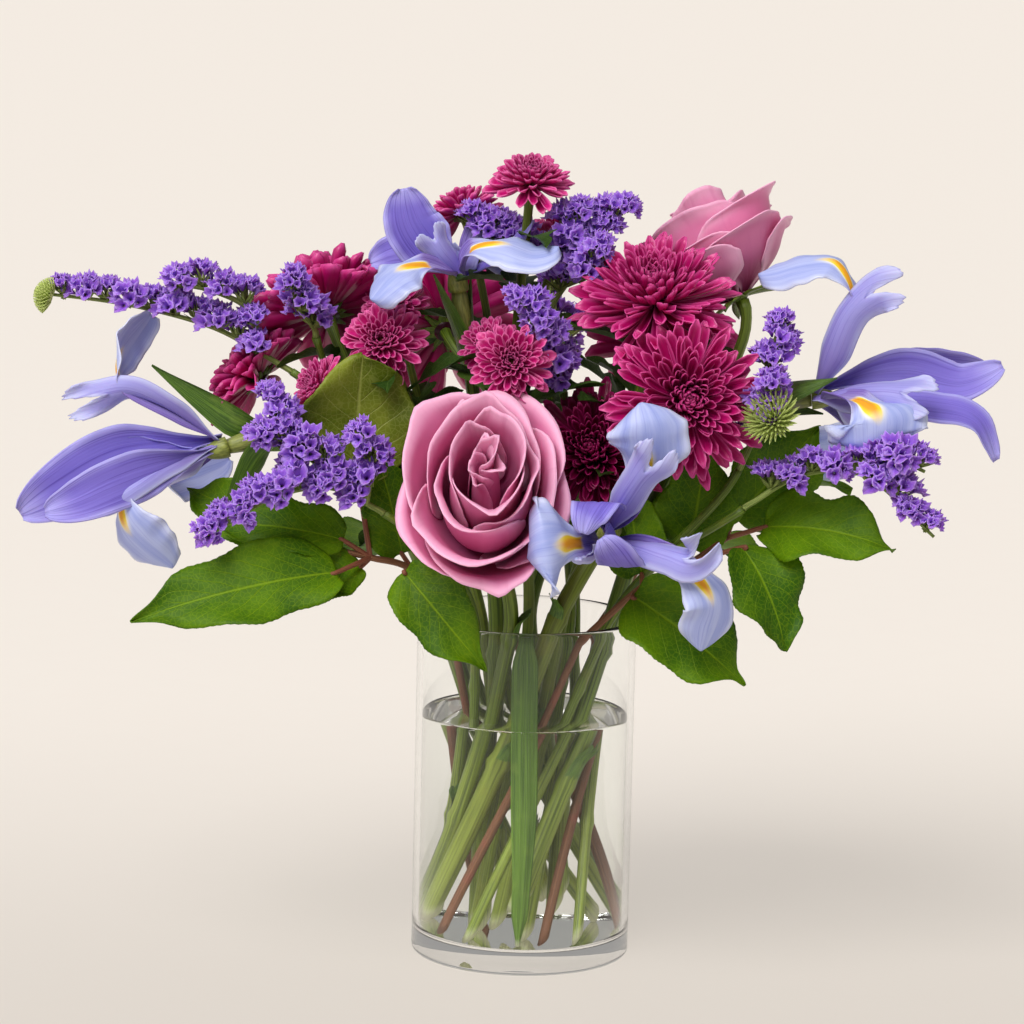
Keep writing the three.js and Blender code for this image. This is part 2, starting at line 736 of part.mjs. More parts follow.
// The paths of the petals that have no ribbon.
const fallPath = ({ open }) => petalPath([3, 2], 92, (t) => open + 118 * ease(t, 0.42, 0.8));
const stylePath = ({ open }) => petalPath([1, 8], 56, (t) => open - 9 - 34 * ease(t, 0.66, 0.95));
const standardPath = ({ lean }, length) =>
  petalPath([2, 4], length, (t) => lean + 10 - 26 * ease(t, 0.2, 0.9));

// Each ring of rose petals, as shares of the rose's radius: how far round each petal reaches, its radius
// at the foot, the belly and the top, and its height.
const roseRings = [
  { count: 3, span: 130, foot: 0.08, belly: 0.22, top: 0.2, height: 1.2 },
  { count: 3, span: 130, foot: 0.1, belly: 0.38, top: 0.44, height: 1.16 },
  { count: 5, span: 88, foot: 0.12, belly: 0.54, top: 0.72, height: 1.04 },
  { count: 5, span: 92, foot: 0.14, belly: 0.66, top: 1, height: 0.82 },
];

function rosePetal({ span, foot, belly, top, height }, radius, share) {
  return blade(3, 3, (part, s) => {
    const t = 1 - (1 - part) ** 1.9;
    const swell = foot + (belly - foot) * Math.sin((Math.PI / 2) * Math.min(1, t * 1.8));
    const open = (top - belly) * ease(t, 0.45, 1);
    const r = radius * (swell + open + s * 0.06 * ease(t, 0, 0.4));
    const z = 3 + radius * share * height * t * (1 - 0.16 * s * s);
    const turn = radians((span / 2) * s * ease(t, -0.6, 0.7));
    const normal = new THREE.Vector3(-Math.cos(turn), -Math.sin(turn), 0.4).normalize();
    return { point: new THREE.Vector3(r * Math.cos(turn), r * Math.sin(turn), z), normal };
  });
}

// Rings of chrysanthemum petals from the outside in. Lengths, widths and places are shares of the bloom's
// radius. angle is a petal's angle from the bloom's axis at its root, and curl is how that changes.
const mumHead = {
  core: { radius: 0.34, height: 0.42 },
  rings: [
    { count: 11, angle: 98, curl: -16, length: 0.92, halfWidth: 0.18, r: 0.08, z: 0.14 },
    { count: 8, angle: 76, curl: -16, length: 0.8, halfWidth: 0.18, r: 0.08, z: 0.2 },
    { count: 5, angle: 48, curl: -16, length: 0.58, halfWidth: 0.15, r: 0.06, z: 0.26 },
    { count: 2, angle: 18, curl: -14, length: 0.34, halfWidth: 0.09, r: 0.04, z: 0.32 },
  ],
};
const buttonHead = {
  core: { radius: 0.5, height: 0.46 },
  rings: [
    { count: 9, angle: 92, curl: -10, length: 0.9, halfWidth: 0.22, r: 0.1, z: 0.2 },
    { count: 6, angle: 60, curl: -14, length: 0.68, halfWidth: 0.22, r: 0.1, z: 0.24 },
    { count: 2, angle: 22, curl: -8, length: 0.4, halfWidth: 0.15, r: 0.05, z: 0.3 },
  ],
};

function headPetal({ angle, curl, length, halfWidth, r, z }, radius, [share, lift]) {
  return spike({
    root: [r * radius, z * radius],
    length: length * share * radius,
    angleAt: (t) => angle - lift + curl * t,
    halfWidth: halfWidth * radius,
    depth: 0.08 * radius,
  });
}

// ---- Hearts: the middle of each bloom, which its petals grow from -------------------------------------

const scaledLathe = (profile, size, segments) =>
  lathe(profile.map(([r, z]) => [r * size, z * size]), segments);

const heartMakers = {
  iris: () => lathe([[0, 0], [4.6, 0], [5.2, 7], [0, 13]], 6),
  rose: ({ radius }) =>
    scaledLathe([[0, 0], [0.14, 0], [0.28, 0.14], [0.17, 0.6], [0, 1.15]], radius, 6),
  mum: ({ radius }) => scaledLathe(coreProfile(mumHead.core), radius, 6),
  button: ({ radius }) => scaledLathe(coreProfile(buttonHead.core), radius, 6),
};

const coreProfile = ({ radius, height }) => [
  [0, 0],
  [radius * 0.6, 0],
  [radius, height * 0.5],
  [0, height],
];

for (const [name, bloom] of Object.entries(blooms)) {
  bloom.frame = frameAt(bloom.base, bloom.facing);
  bloom.heart = moved(heartMakers[name.split("_")[0]](bloom), bloom.frame);
  keepClear(name, bloom.heart);
}

// ---- Stems --------------------------------------------------------------------------------------------

const stems = [
  { name: "rose_front_stem", ring: "outer", angle: -103, radius: 3.4, carried: ["rose_front"] },
  { name: "rose_back_stem", ring: "inner", angle: 40, radius: 3.2, carried: ["rose_back"] },
  {
    name: "mum_stem_front",
    ring: "inner",
    angle: -45,
    radius: 3,
    carried: ["mum_top", "mum_front", "mum_dark"],
  },
  { name: "mum_stem_left", ring: "outer", angle: 129, radius: 3, carried: ["mum_left", "mum_far_left"] },
  {
    name: "mum_stem_back",
    ring: "inner",
    angle: 85,
    radius: 3,
    carried: ["mum_back_right", "mum_back_left"],
  },
  {
    name: "button_stem_left",
    ring: "inner",
    angle: 180,
    radius: 2.6,
    carried: ["button_left", "button_side", "button_under_iris"],
  },
  {
    name: "button_stem_crown",
    ring: "inner",
    angle: 130,
    radius: 2.6,
    carried: ["button_crown", "button_crown_left", "button_crown_back"],
  },
  {
    name: "button_stem_centre",
    ring: "inner",
    angle: -90,
    radius: 2.6,
    carried: ["button_centre", "button_inner"],
  },
  { name: "iris_left_stem", ring: "outer", angle: 180, radius: 4, sides: 6, carried: ["iris_left"] },
  { name: "iris_top_stem", ring: "inner", angle: 226, radius: 3.8, sides: 6, carried: ["iris_top"] },
  { name: "iris_right_stem", ring: "outer", angle: 0, radius: 4, sides: 6, carried: ["iris_right"] },
  { name: "iris_front_stem", ring: "outer", angle: -77, radius: 4.2, sides: 6, carried: ["iris_front"] },
];

for (const { name, carried, ...stem } of stems) {
  const parts = stemParts(name, stem, carried.map((bloom) => seat(blooms[bloom])));
  for (const bloom of carried) if (blooms[bloom].spathe) parts.push(...irisCollar(blooms[bloom]));
  addPiece(name, fused(parts), finishes.stem);
}

// Statice: each stem ends in one or two sprays. A spray's first path goes on from its base, and the other
// paths start on the first.
const statices = [
  {
    name: "statice_left_stem",
    ring: "outer",
    angle: 155,
    sprays: {
      statice_left_long: {
        base: [-111, -8, 272],
        facing: [-0.86, -0.05, 0.5],
        paths: [
          [[-146, -8, 291], [-185, -10, 301], [-219, -20, 306]],
          [[-125, -8, 281], [-131, -8, 300], [-150, -10, 309], [-167, -14, 311]],
        ],
        up: [0, -0.35, 1],
        florets: 17,
        size: 14,
      },
      statice_left_small: {
        base: [-100, -6, 288],
        facing: [-0.2, -0.4, 0.9],
        paths: [[[-107, -18, 302], [-110, -22, 314]]],
        up: [0, -0.3, 1],
        florets: 6,
        size: 14,
      },
    },
  },
  {
    name: "statice_low_stem",
    ring: "outer",
    angle: 232,
    sprays: {
      statice_low: {
        base: [-66, -52, 214],
        facing: [-0.8, -0.2, 0.5],
        paths: [
          [[-90, -58, 226], [-115, -66, 222], [-146, -72, 204]],
          [[-80, -56, 221], [-92, -57, 236], [-108, -58, 246], [-124, -56, 248]],
          [[-74, -54, 218], [-72, -56, 236], [-76, -56, 252]],
        ],
        up: [-0.1, -0.7, 0.8],
        florets: 20,
        size: 14,
      },
    },
  },
  {
    name: "statice_crown_stem",
    ring: "inner",
    angle: 0,
    sprays: {
      statice_crown: {
        base: [8, 4, 302],
        facing: [0.3, 0, 0.95],
        paths: [
          [[20, 3, 322], [32, 4, 340], [42, 6, 350]],
          [[15, 3, 314], [24, -8, 320], [30, -14, 333]],
        ],
        up: [0, -0.5, 0.9],
        florets: 12,
        size: 14,
      },
      statice_centre: {
        base: [14, -14, 266],
        facing: [-0.15, -0.5, 0.85],
        paths: [[[8, -28, 288], [2, -34, 302], [-10, -36, 312]]],
        up: [0, -0.9, 0.5],
        florets: 8,
        size: 14,
      },
    },
  },
  {
    name: "statice_right_stem",
    ring: "outer",
    angle: -26,
    sprays: {
      statice_right_high: {
        base: [94, -40, 236],
        facing: [0.4, -0.1, 0.9],
        paths: [
          [[104, -41, 262], [108, -38, 288], [112, -36, 304]],
          [[101, -41, 254], [106, -56, 268], [108, -64, 279]],
        ],
        up: [0.1, -0.6, 0.8],
        florets: 11,
        size: 14,
      },
      statice_right_low: {
        base: [96, -52, 220],
        facing: [0.8, -0.1, 0.6],
        paths: [
          [[122, -58, 237], [150, -62, 237], [180, -70, 212]],
          [[148, -62, 237], [162, -64, 245], [175, -68, 241]],
        ],
        up: [0, -0.55, 0.85],
        florets: 13,
        size: 14,
      },
    },
  },
  {
    name: "statice_back_stem",
    ring: "outer",
    angle: 52,
    sprays: {
      statice_back: {
        base: [12, 78, 262],
        facing: [0, 0.5, 0.86],
        paths: [
          [[10, 90, 284], [6, 96, 306]],
          [[11, 86, 276], [24, 102, 284], [34, 110, 292]],
        ],
        up: [0, 0.8, 0.6],
        florets: 10,
        size: 14,
      },
    },
  },
];

for (const { name, ring, angle, sprays } of statices) {
  const heads = Object.values(sprays).map(({ base, facing }) => seat({ base, facing, reach: 26 }));
  const parts = stemParts(name, { ring, angle, radius: 2.3, sides: 5 }, heads);
  addPiece(name, fused(parts), finishes.stem);
}

// Salal: a woody stem whose leaves stand on short stalks, each from one point of the path above the rim.
const salals = [
  {
    name: "salal_left",
    angle: 206,
    path: [[-52, -28, 183], [-72, -42, 192], [-96, -40, 196]],
    leaves: [
      { from: 1, base: [-86, -60, 188], tip: [-177, -76, 166], normal: [0.1, -0.8, 0.6], width: 40, sag: 7 },
      { from: 1, base: [-84, -48, 198], tip: [-146, -48, 201], normal: [0, -0.7, 0.7], width: 34, sag: 5 },
      { from: 1, base: [-78, -38, 226], tip: [-77, -40, 284], normal: [0.2, -1, 0.1], width: 56, sag: -6 },
      { from: 0, base: [-56, -60, 189], tip: [-18, -74, 147], normal: [-0.3, -0.8, 0.5], width: 32, sag: 6 },
      { from: 2, base: [-118, -26, 199], tip: [-158, -10, 217], normal: [0, -0.85, 0.5], width: 30, sag: 4 },
    ],
  },
  {
    name: "salal_right",
    angle: -51,
    path: [[52, -34, 180], [74, -34, 192], [90, -26, 202]],
    leaves: [
      { from: 0, base: [47, -54, 179], tip: [98, -68, 142], normal: [0.1, -0.8, 0.6], width: 46, sag: 4 },
      { from: 1, base: [96, -50, 202], tip: [116, -62, 157], normal: [0.4, -0.85, 0.3], width: 36, sag: 6 },
      { from: 2, base: [106, -36, 209], tip: [164, -56, 203], normal: [0, -0.75, 0.65], width: 38, sag: 7 },
      { from: 2, base: [94, -14, 210], tip: [132, -6, 252], normal: [0.3, -0.9, 0.2], width: 40, sag: 4 },
    ],
  },
  {
    name: "salal_back",
    angle: 103,
    path: [[-18, 56, 184], [-34, 66, 202], [-46, 68, 222]],
    leaves: [
      { from: 0, base: [-44, 66, 182], tip: [-104, 104, 160], normal: [-0.3, 0.6, 0.75], width: 44, sag: 8 },
      { from: 1, base: [-66, 62, 212], tip: [-136, 66, 226], normal: [-0.1, 0.6, 0.8], width: 42, sag: 7 },
      { from: 1, base: [-20, 88, 206], tip: [0, 140, 196], normal: [0, 0.5, 0.86], width: 44, sag: 8 },
    ],
  },
  {
    name: "salal_back_right",
    angle: 26,
    path: [[54, 32, 180], [68, 46, 198], [76, 56, 214]],
    leaves: [
      { from: 0, base: [68, 52, 184], tip: [118, 92, 164], normal: [0.4, 0.5, 0.75], width: 44, sag: 8 },
      { from: 1, base: [86, 44, 206], tip: [152, 36, 216], normal: [0.1, 0.3, 0.95], width: 42, sag: 7 },
      { from: 2, base: [74, 74, 218], tip: [66, 134, 226], normal: [0, 0.2, 1], width: 44, sag: 7 },
    ],
  },
];

for (const { name, angle, path, leaves } of salals) {
  const slot = { ring: "outer", angle };
  const radius = 2;
  const { start, end: rim } = lineInVase(slot);
  const above = smoothCurve([rim.toArray(), ...path]);
  const parts = [tube(joined(new THREE.LineCurve3(start, rim), above), radius, 5, 28)];
  for (const leaf of leaves) {
    const inLeaf = vec(leaf.base).lerp(vec(leaf.tip), 0.06).toArray();
    const stalk = tube(smoothCurve([path[leaf.from], leaf.base, inLeaf]), 1.3, 3, 20);
    parts.push(stalk, leafBlade(leaf));
  }
  boreFor(slot, radius);
  addPiece(name, fused(parts), finishes.leaf);
}

addPiece("iris_strap_leaf", strapSolid(strap), finishes.leaf);
holes.push(strapSolid(strap, gap + 0.1));

// ---- Irises -------------------------------------------------------------------------------------------

const shifts = [0, 7, -7, 14, -14];
const slims = [1, 0.82, 0.64, 0.46];

// A petal in its place, or where that isn't clear, swung about the flower's axis and made slimmer.
function irisPetal(name, frame, place, path, kind, half) {
  const forms = slims.flatMap((slim) =>
    shifts.map((shift) => () => {
      const swing = turned(frame, shift).multiply(frame.clone().invert());
      return moved(petal(path, petalKinds[kind](half * slim)), swing.multiply(place));
    }),
  );
  return firstClear(name, forms, true);
}

const still = new THREE.Matrix4();

function irisSolid(name, { heart, frame, ribbons, falls, standards, standardLength }) {
  const add = (place, path, kind, half) => irisPetal(name, frame, place, path, kind, half);
  return fused([
    heart,
    ...ribbons.flatMap((ribbon) => add(still, ribbonPath(ribbon), ribbon.kind, ribbon.half)),
    ...falls.flatMap((f) => add(turned(frame, f.turn), fallPath(f), "fall", 15)),
    ...falls.flatMap((f) => add(turned(frame, f.turn), stylePath(f), "style", 9)),
    ...standards.flatMap((s) =>
      add(turned(frame, s.turn), standardPath(s, standardLength), "standard", 0.17 * standardLength),
    ),
  ]);
}

for (const [name, iris] of Object.entries(irises)) addPiece(name, irisSolid(name, iris), finishes.iris);

// ---- Roses and chrysanthemums -------------------------------------------------------------------------

// Fuses a bloom from its heart and its rings of petals. Every second ring is turned by half a step.
function ringedBloom(name, { heart, frame, radius }, rings, make, forms) {
  const petals = rings.flatMap((ring, n) =>
    Array.from({ length: ring.count }, (_, j) => {
      const at = turned(frame, (360 * (j + 0.5 * (n % 2))) / ring.count);
      return firstClear(name, forms.map((form) => () => moved(make(ring, radius, form), at)));
    }).flat(),
  );
  return fused([heart, ...petals]);
}

for (const [name, rose] of Object.entries(roses))
  addPiece(name, ringedBloom(name, rose, roseRings, rosePetal, [1, 0.85, 0.7, 0.55]), finishes.rose);

const headForms = [[1, 0], [1, 10], [0.85, 4], [0.85, 18], [0.65, 6], [0.65, 26]];
for (const [name, mum] of Object.entries(mums))
  addPiece(name, ringedBloom(name, mum, mumHead.rings, headPetal, headForms), finishes.mum);
for (const [name, button] of Object.entries(buttons)) {
  const solid = ringedBloom(name, button, buttonHead.rings, headPetal, headForms);
  addPiece(name, solid, finishes.button);
}

// ---- Statice florets ----------------------------------------------------------------------------------

// One papery floret: a four-sided funnel with a dipped mouth.
function floret(size) {
  const rim = 4;
  const points = [0, 0, 0];
  for (let k = 0; k < rim; k++) {
    const angle = (2 * Math.PI * k) / rim;
    points.push(0.5 * size * Math.cos(angle), 0.5 * size * Math.sin(angle), size);
  }
  points.push(0, 0, 0.7 * size);
  const faces = [];
  for (let k = 1; k <= rim; k++) {
    const next = (k % rim) + 1;
    faces.push(0, next, k, rim + 1, k, next);
  }
  return solidFrom(points, faces);
}

function spraySolid(name, { base, facing, paths, up, florets, size }) {
  const ahead = vec(base).addScaledVector(vec(facing).normalize(), 5).toArray();
  const curves = paths.map((path, k) => smoothCurve(k ? path : [base, ahead, ...path]));
  const total = curves.reduce((sum, curve) => sum + curve.getLength(), 0);
  const parts = curves.map((curve) => tube(curve, 1.7, 3, 22));
  for (const curve of curves) {
    const count = Math.round((florets * curve.getLength()) / total);
    for (let k = 0; k < count; k++) {
      const t = 0.14 + (0.86 * (k + 0.5)) / count;
      const tangent = curve.getTangentAt(t);
      const normal = vec(up).normalize();
      const side = new THREE.Vector3().crossVectors(tangent, normal).normalize();
      const sway = (k % 2 ? 1 : -1) * 0.6;
      const out = normal.addScaledVector(side, sway).addScaledVector(tangent, 0.15).normalize();
      const root = curve.getPointAt(t).addScaledVector(out, -0.2);
      const at = turned(frameAt(root.toArray(), out.toArray()), 40 * k);
      const forms = [1, 0.8, 0.62].map((share) => () => moved(floret(size * share), at));
      parts.push(...firstClear(name, forms));
    }
  }
  return fused(parts);
}

for (const { sprays } of statices)
  for (const [name, spray] of Object.entries(sprays))
    addPiece(name, spraySolid(name, spray), finishes.statice);

// ---- Vase and water -----------------------------------------------------------------------------------

function vaseSolid() {
  const { radius, height, wall, floor, lip, inCorner, sides } = vase;
  const inside = radius - wall;
  const profile = [
    [0, 0],
    [radius - 2, 0],
    [radius, 2],
    [radius, height - lip],
    [radius - lip, height],
    [inside + lip, height],
    [inside, height - lip],
    [inside, floor + inCorner],
    [inside - inCorner, floor],
    [0, floor],
  ];
  return lathe(profile, sides);
}

function waterSolid() {
  const radius = vase.radius - vase.wall - gap;
  const bottom = vase.floor + gap;
  const profile = [
    [0, bottom],
    [radius - vase.inCorner, bottom],
    [radius, bottom + vase.inCorner],
    [radius, waterLevel],
    [0, waterLevel],
  ];
  return holes.reduce((body, hole) => body.subtract(hole), lathe(profile, vase.sides));
}

addPiece("vase", vaseSolid(), finishes.glass);
addPiece("water", waterSolid(), finishes.water);

export default bouquet;
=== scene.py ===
import random
import bpy
import bmesh
from math import atan2, cos, exp, pi, radians, sin, sqrt
from mathutils import Matrix, Vector
from random import uniform


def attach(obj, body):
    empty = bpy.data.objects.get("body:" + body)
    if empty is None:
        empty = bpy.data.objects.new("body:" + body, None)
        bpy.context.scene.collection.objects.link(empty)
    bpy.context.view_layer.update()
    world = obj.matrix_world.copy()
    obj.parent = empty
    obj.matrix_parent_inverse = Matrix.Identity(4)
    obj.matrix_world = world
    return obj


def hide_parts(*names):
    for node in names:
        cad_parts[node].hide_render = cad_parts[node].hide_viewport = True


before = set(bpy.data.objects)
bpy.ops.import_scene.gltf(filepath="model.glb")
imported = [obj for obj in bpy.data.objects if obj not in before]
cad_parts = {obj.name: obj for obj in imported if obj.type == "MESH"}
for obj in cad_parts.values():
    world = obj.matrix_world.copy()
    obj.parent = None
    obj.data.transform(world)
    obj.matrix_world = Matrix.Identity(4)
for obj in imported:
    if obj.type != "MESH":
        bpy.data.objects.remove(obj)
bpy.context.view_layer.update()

random.seed(41)
millimetre = 0.001  # sizes below are in millimetres, and each mesh is scaled to metres when it is finished
goldenAngle = 137.5  # degrees from one petal of a spiral to the next

print("stage: helpers")


def ease(t, start, end):
    share = min(1.0, max(0.0, (t - start) / (end - start)))
    return share * share * (3.0 - 2.0 * share)


def between(first, last, share):
    return first + (last - first) * share


# z runs along facing; from in front of a flower, turn 0 is to the right and 90 is up
def frameAt(origin, facing, turn=0.0):
    ahead = Vector(facing).normalized()
    side = Vector((1, 0, 0)) if abs(ahead.z) > 0.99 else Vector((0, 0, 1)).cross(ahead).normalized()
    placed = Matrix((side, ahead.cross(side), ahead)).transposed().to_4x4()
    placed.translation = Vector(origin)
    return placed @ Matrix.Rotation(radians(turn), 4, "Z")


def startMesh():
    mesh = bmesh.new()
    mesh.loops.layers.uv.verify()
    mesh.verts.layers.float.new("tone")
    return mesh


# A grid bent into a petal, leaf or tube. shape takes t from root to tip and s from -1 to 1 across
def addSheet(mesh, rows, columns, shape, tone=0.5, material=0, matrix=None):
    made = bmesh.ops.create_grid(mesh, x_segments=columns, y_segments=rows, size=1.0, calc_uvs=True)
    verts = made["verts"]
    layer = mesh.verts.layers.float["tone"]
    for vert in verts:
        vert[layer] = tone
        vert.co = shape((vert.co.y + 1) / 2, vert.co.x)
    if matrix:
        bmesh.ops.transform(mesh, matrix=matrix, verts=verts)
    if material:
        for face in {face for vert in verts for face in vert.link_faces}:
            face.material_index = material
    return verts


# Frames along a line of points that don't twist
def framesAlong(points):
    frames = []
    side = None
    for k, point in enumerate(points):
        ahead = (points[min(k + 1, len(points) - 1)] - points[max(k - 1, 0)]).normalized()
        if side is None:
            side = ahead.orthogonal().normalized()
        side = (side - ahead * side.dot(ahead)).normalized()
        frames.append((point, side, ahead.cross(side), ahead))
    return frames


# A closed round stem along points. cut slants its foot, and capMaterial is for the cut face
def addTube(mesh, points, radiusAt, sides=10, tone=0.5, material=0, cut=0.0, capMaterial=None):
    frames = framesAlong(points)
    count = len(points) - 1

    def shape(t, s):
        index = round(t * count)
        centre, side, up, ahead = frames[index]
        radius = radiusAt(t)
        turn = pi * s
        slant = cut * radius * cos(turn) * max(0.0, 1 - index / 5)
        return centre + (side * cos(turn) + up * sin(turn)) * radius + ahead * slant

    verts = addSheet(mesh, count, sides, shape, tone, material)
    bmesh.ops.remove_doubles(mesh, verts=verts, dist=0.001)
    verts = [vert for vert in verts if vert.is_valid]
    rims = {edge for vert in verts for edge in vert.link_edges if edge.is_boundary}
    caps = bmesh.ops.holes_fill(mesh, edges=list(rims), sides=0)["faces"]
    for cap in caps:
        middle = cap.calc_center_median()
        isFoot = (middle - points[0]).length < (middle - points[-1]).length
        cap.material_index = capMaterial if isFoot and capMaterial is not None else material
    return verts


def meshData(name, mesh):
    data = bpy.data.meshes.new(name)
    mesh.to_mesh(data)
    mesh.free()
    return data


def addObject(name, data):
    made = bpy.data.objects.new(name, data)
    bpy.context.scene.collection.objects.link(made)
    return made


def finishPiece(name, mesh, materials, replaced=(), thickness=0.0):
    bmesh.ops.scale(mesh, vec=(millimetre,) * 3, verts=mesh.verts)
    data = meshData(name, mesh)
    data.shade_smooth()
    for material in materials:
        data.materials.append(material)
    piece = addObject(name, data)
    if thickness:
        wall = piece.modifiers.new("wall", "SOLIDIFY")
        wall.thickness = thickness * millimetre
        wall.offset = 0.0
    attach(piece, "root")
    if replaced:
        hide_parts(*replaced)
    return piece


# A petal's line from root (r, z), with its angle from the flower's axis and how far it swings sideways
def petalPath(root, length, angleAt, swayAt=None, steps=60):
    def headingAt(t):
        angle = radians(angleAt(t))
        sway = radians(swayAt(t)) if swayAt else 0.0
        flat = cos(sway)
        return angle, Vector((sin(angle) * flat, sin(sway), cos(angle) * flat))

    places = [Vector((root[0], 0, root[1]))]
    for k in range(steps):
        places.append(places[-1] + headingAt((k + 0.5) / steps)[1] * length / steps)

    def at(t):
        angle, ahead = headingAt(t)
        inward = Vector((-cos(angle), 0, sin(angle)))
        index = min(int(t * steps), steps - 1)
        return places[index].lerp(places[index + 1], t * steps - index), inward.cross(ahead), inward

    return at


def bezier(start, leaving, end, arriving, count=26):
    points = []
    for k in range(count + 1):
        t = k / count
        a, b, c, d = start, start + leaving, end - arriving, end
        points.append(a * (1 - t) ** 3 + b * 3 * t * (1 - t) ** 2 + c * 3 * t * t * (1 - t) + d * t ** 3)
    return points


# A smooth line through its points, with count steps from each to the next
def smoothLine(points, count=8):
    points = [Vector(point) for point in points]
    line = []
    for k in range(len(points) - 1):
        before = points[max(k - 1, 0)]
        start, end = points[k], points[k + 1]
        after = points[min(k + 2, len(points) - 1)]
        leaving, arriving = (end - before) / 6, (after - start) / 6
        line += bezier(start, leaving, end, arriving, count)[(1 if k else 0):]
    return line


def lengthsOf(line):
    lengths = [0.0]
    for before, after in zip(line, line[1:]):
        lengths.append(lengths[-1] + (after - before).length)
    return lengths


# The place and heading at a share of a line's length
def along(line, share):
    lengths = lengthsOf(line)
    wanted = share * lengths[-1]
    for k in range(1, len(line)):
        if lengths[k] >= wanted or k == len(line) - 1:
            part = (wanted - lengths[k - 1]) / max(1e-6, lengths[k] - lengths[k - 1])
            return line[k - 1].lerp(line[k], part), (line[k] - line[k - 1]).normalized()


print("stage: finishes")


# Screen values of 0 to 255 as a shader's colour
def paint(*values):
    linear = [((value / 255 + 0.055) / 1.055) ** 2.4 if value > 10 else value / 3295 for value in values]
    return (*linear, 1.0)


def addNode(tree, kind, inputs=None, **settings):
    made = tree.nodes.new(kind)
    for name, value in settings.items():
        setattr(made, name, value)
    for key, value in (inputs or {}).items():
        if isinstance(value, bpy.types.NodeSocket):
            tree.links.new(value, made.inputs[key])
        else:
            made.inputs[key].default_value = value
    return made


def sums(tree, operation, first, second=0.0, third=None):
    inputs = {0: first, 1: second}
    if third is not None:
        inputs[2] = third
    return addNode(tree, "ShaderNodeMath", inputs, operation=operation).outputs[0]


def times(tree, first, second):
    return sums(tree, "MULTIPLY", first, second)


def objectPlace(tree):
    return addNode(tree, "ShaderNodeTexCoord").outputs["Object"]


# The x, y and z of a vector
def split(tree, vector):
    return addNode(tree, "ShaderNodeSeparateXYZ", {0: vector}).outputs


def blend(tree, factor, first, second, mode="MIX"):
    inputs = {0: factor, 6: first, 7: second}
    return addNode(tree, "ShaderNodeMix", inputs, data_type="RGBA", blend_type=mode).outputs[2]


# 0 below start and 1 above end, or the other way round where start is the larger
def step(tree, value, start, end):
    isDown = start > end
    inputs = {"Value": value, "From Min": min(start, end), "From Max": max(start, end)}
    inputs.update({"To Min": 1.0, "To Max": 0.0} if isDown else {"To Min": 0.0, "To Max": 1.0})
    return addNode(tree, "ShaderNodeMapRange", inputs, interpolation_type="SMOOTHSTEP").outputs[0]


def startMaterial(name, roughness, sockets=None):
    material = bpy.data.materials.new(name)
    material.use_nodes = True
    shader = material.node_tree.nodes["Principled BSDF"]
    for key, value in {"Roughness": roughness, **(sockets or {})}.items():
        shader.inputs[key].default_value = value
    return material, material.node_tree, shader


# The sockets that let a little light through a petal or leaf, tinted by radius
def lightThrough(weight, radius):
    return {"Subsurface Weight": weight, "Subsurface Radius": radius, "Subsurface Scale": 0.002}


def addBump(tree, shader, height, strength=0.3, distance=0.0005):
    bump = addNode(tree, "ShaderNodeBump", {"Height": height, "Strength": strength, "Distance": distance})
    tree.links.new(bump.outputs[0], shader.inputs["Normal"])


# u is 0 at the middle and 1 at the edges, across keeps its sign, and v runs from root to tip
def sheetPlace(tree):
    uv = addNode(tree, "ShaderNodeTexCoord").outputs["UV"]
    parts = split(tree, uv)
    across = sums(tree, "MULTIPLY_ADD", parts[0], 2.0, -1.0)
    return across, sums(tree, "ABSOLUTE", across), parts[1]


def toneOf(tree):
    return addNode(tree, "ShaderNodeAttribute", attribute_name="tone").outputs["Fac"]


def noise(tree, place, scale, detail):
    return addNode(tree, "ShaderNodeTexNoise", {"Vector": place, "Scale": scale, "Detail": detail}).outputs[0]


# Streaks that run from root to tip
def streaks(tree, across, v, tone, fineness=14.0, stretch=1.2, detail=3.0):
    place = addNode(tree, "ShaderNodeCombineXYZ", {
        0: times(tree, across, fineness),
        1: times(tree, v, stretch),
        2: times(tree, tone, 37.0),
    })
    return noise(tree, place.outputs[0], 1.0, detail)


def mottle(tree, scale, detail=3.0):
    return noise(tree, objectPlace(tree), scale, detail)


# Clear glass or water, with the faint ripples that a real surface has
def clearMaterial(name, tint, ior, ripple, scale):
    material, tree, shader = startMaterial(name, 0.0, {
        "Base Color": tint, "IOR": ior, "Transmission Weight": 1.0,
        "Specular Tint": (0.45, 0.45, 0.45, 1),  # less of the pale room is mirrored over the stems
    })
    addBump(tree, shader, mottle(tree, scale, 1.0), ripple, 0.0004)
    return material


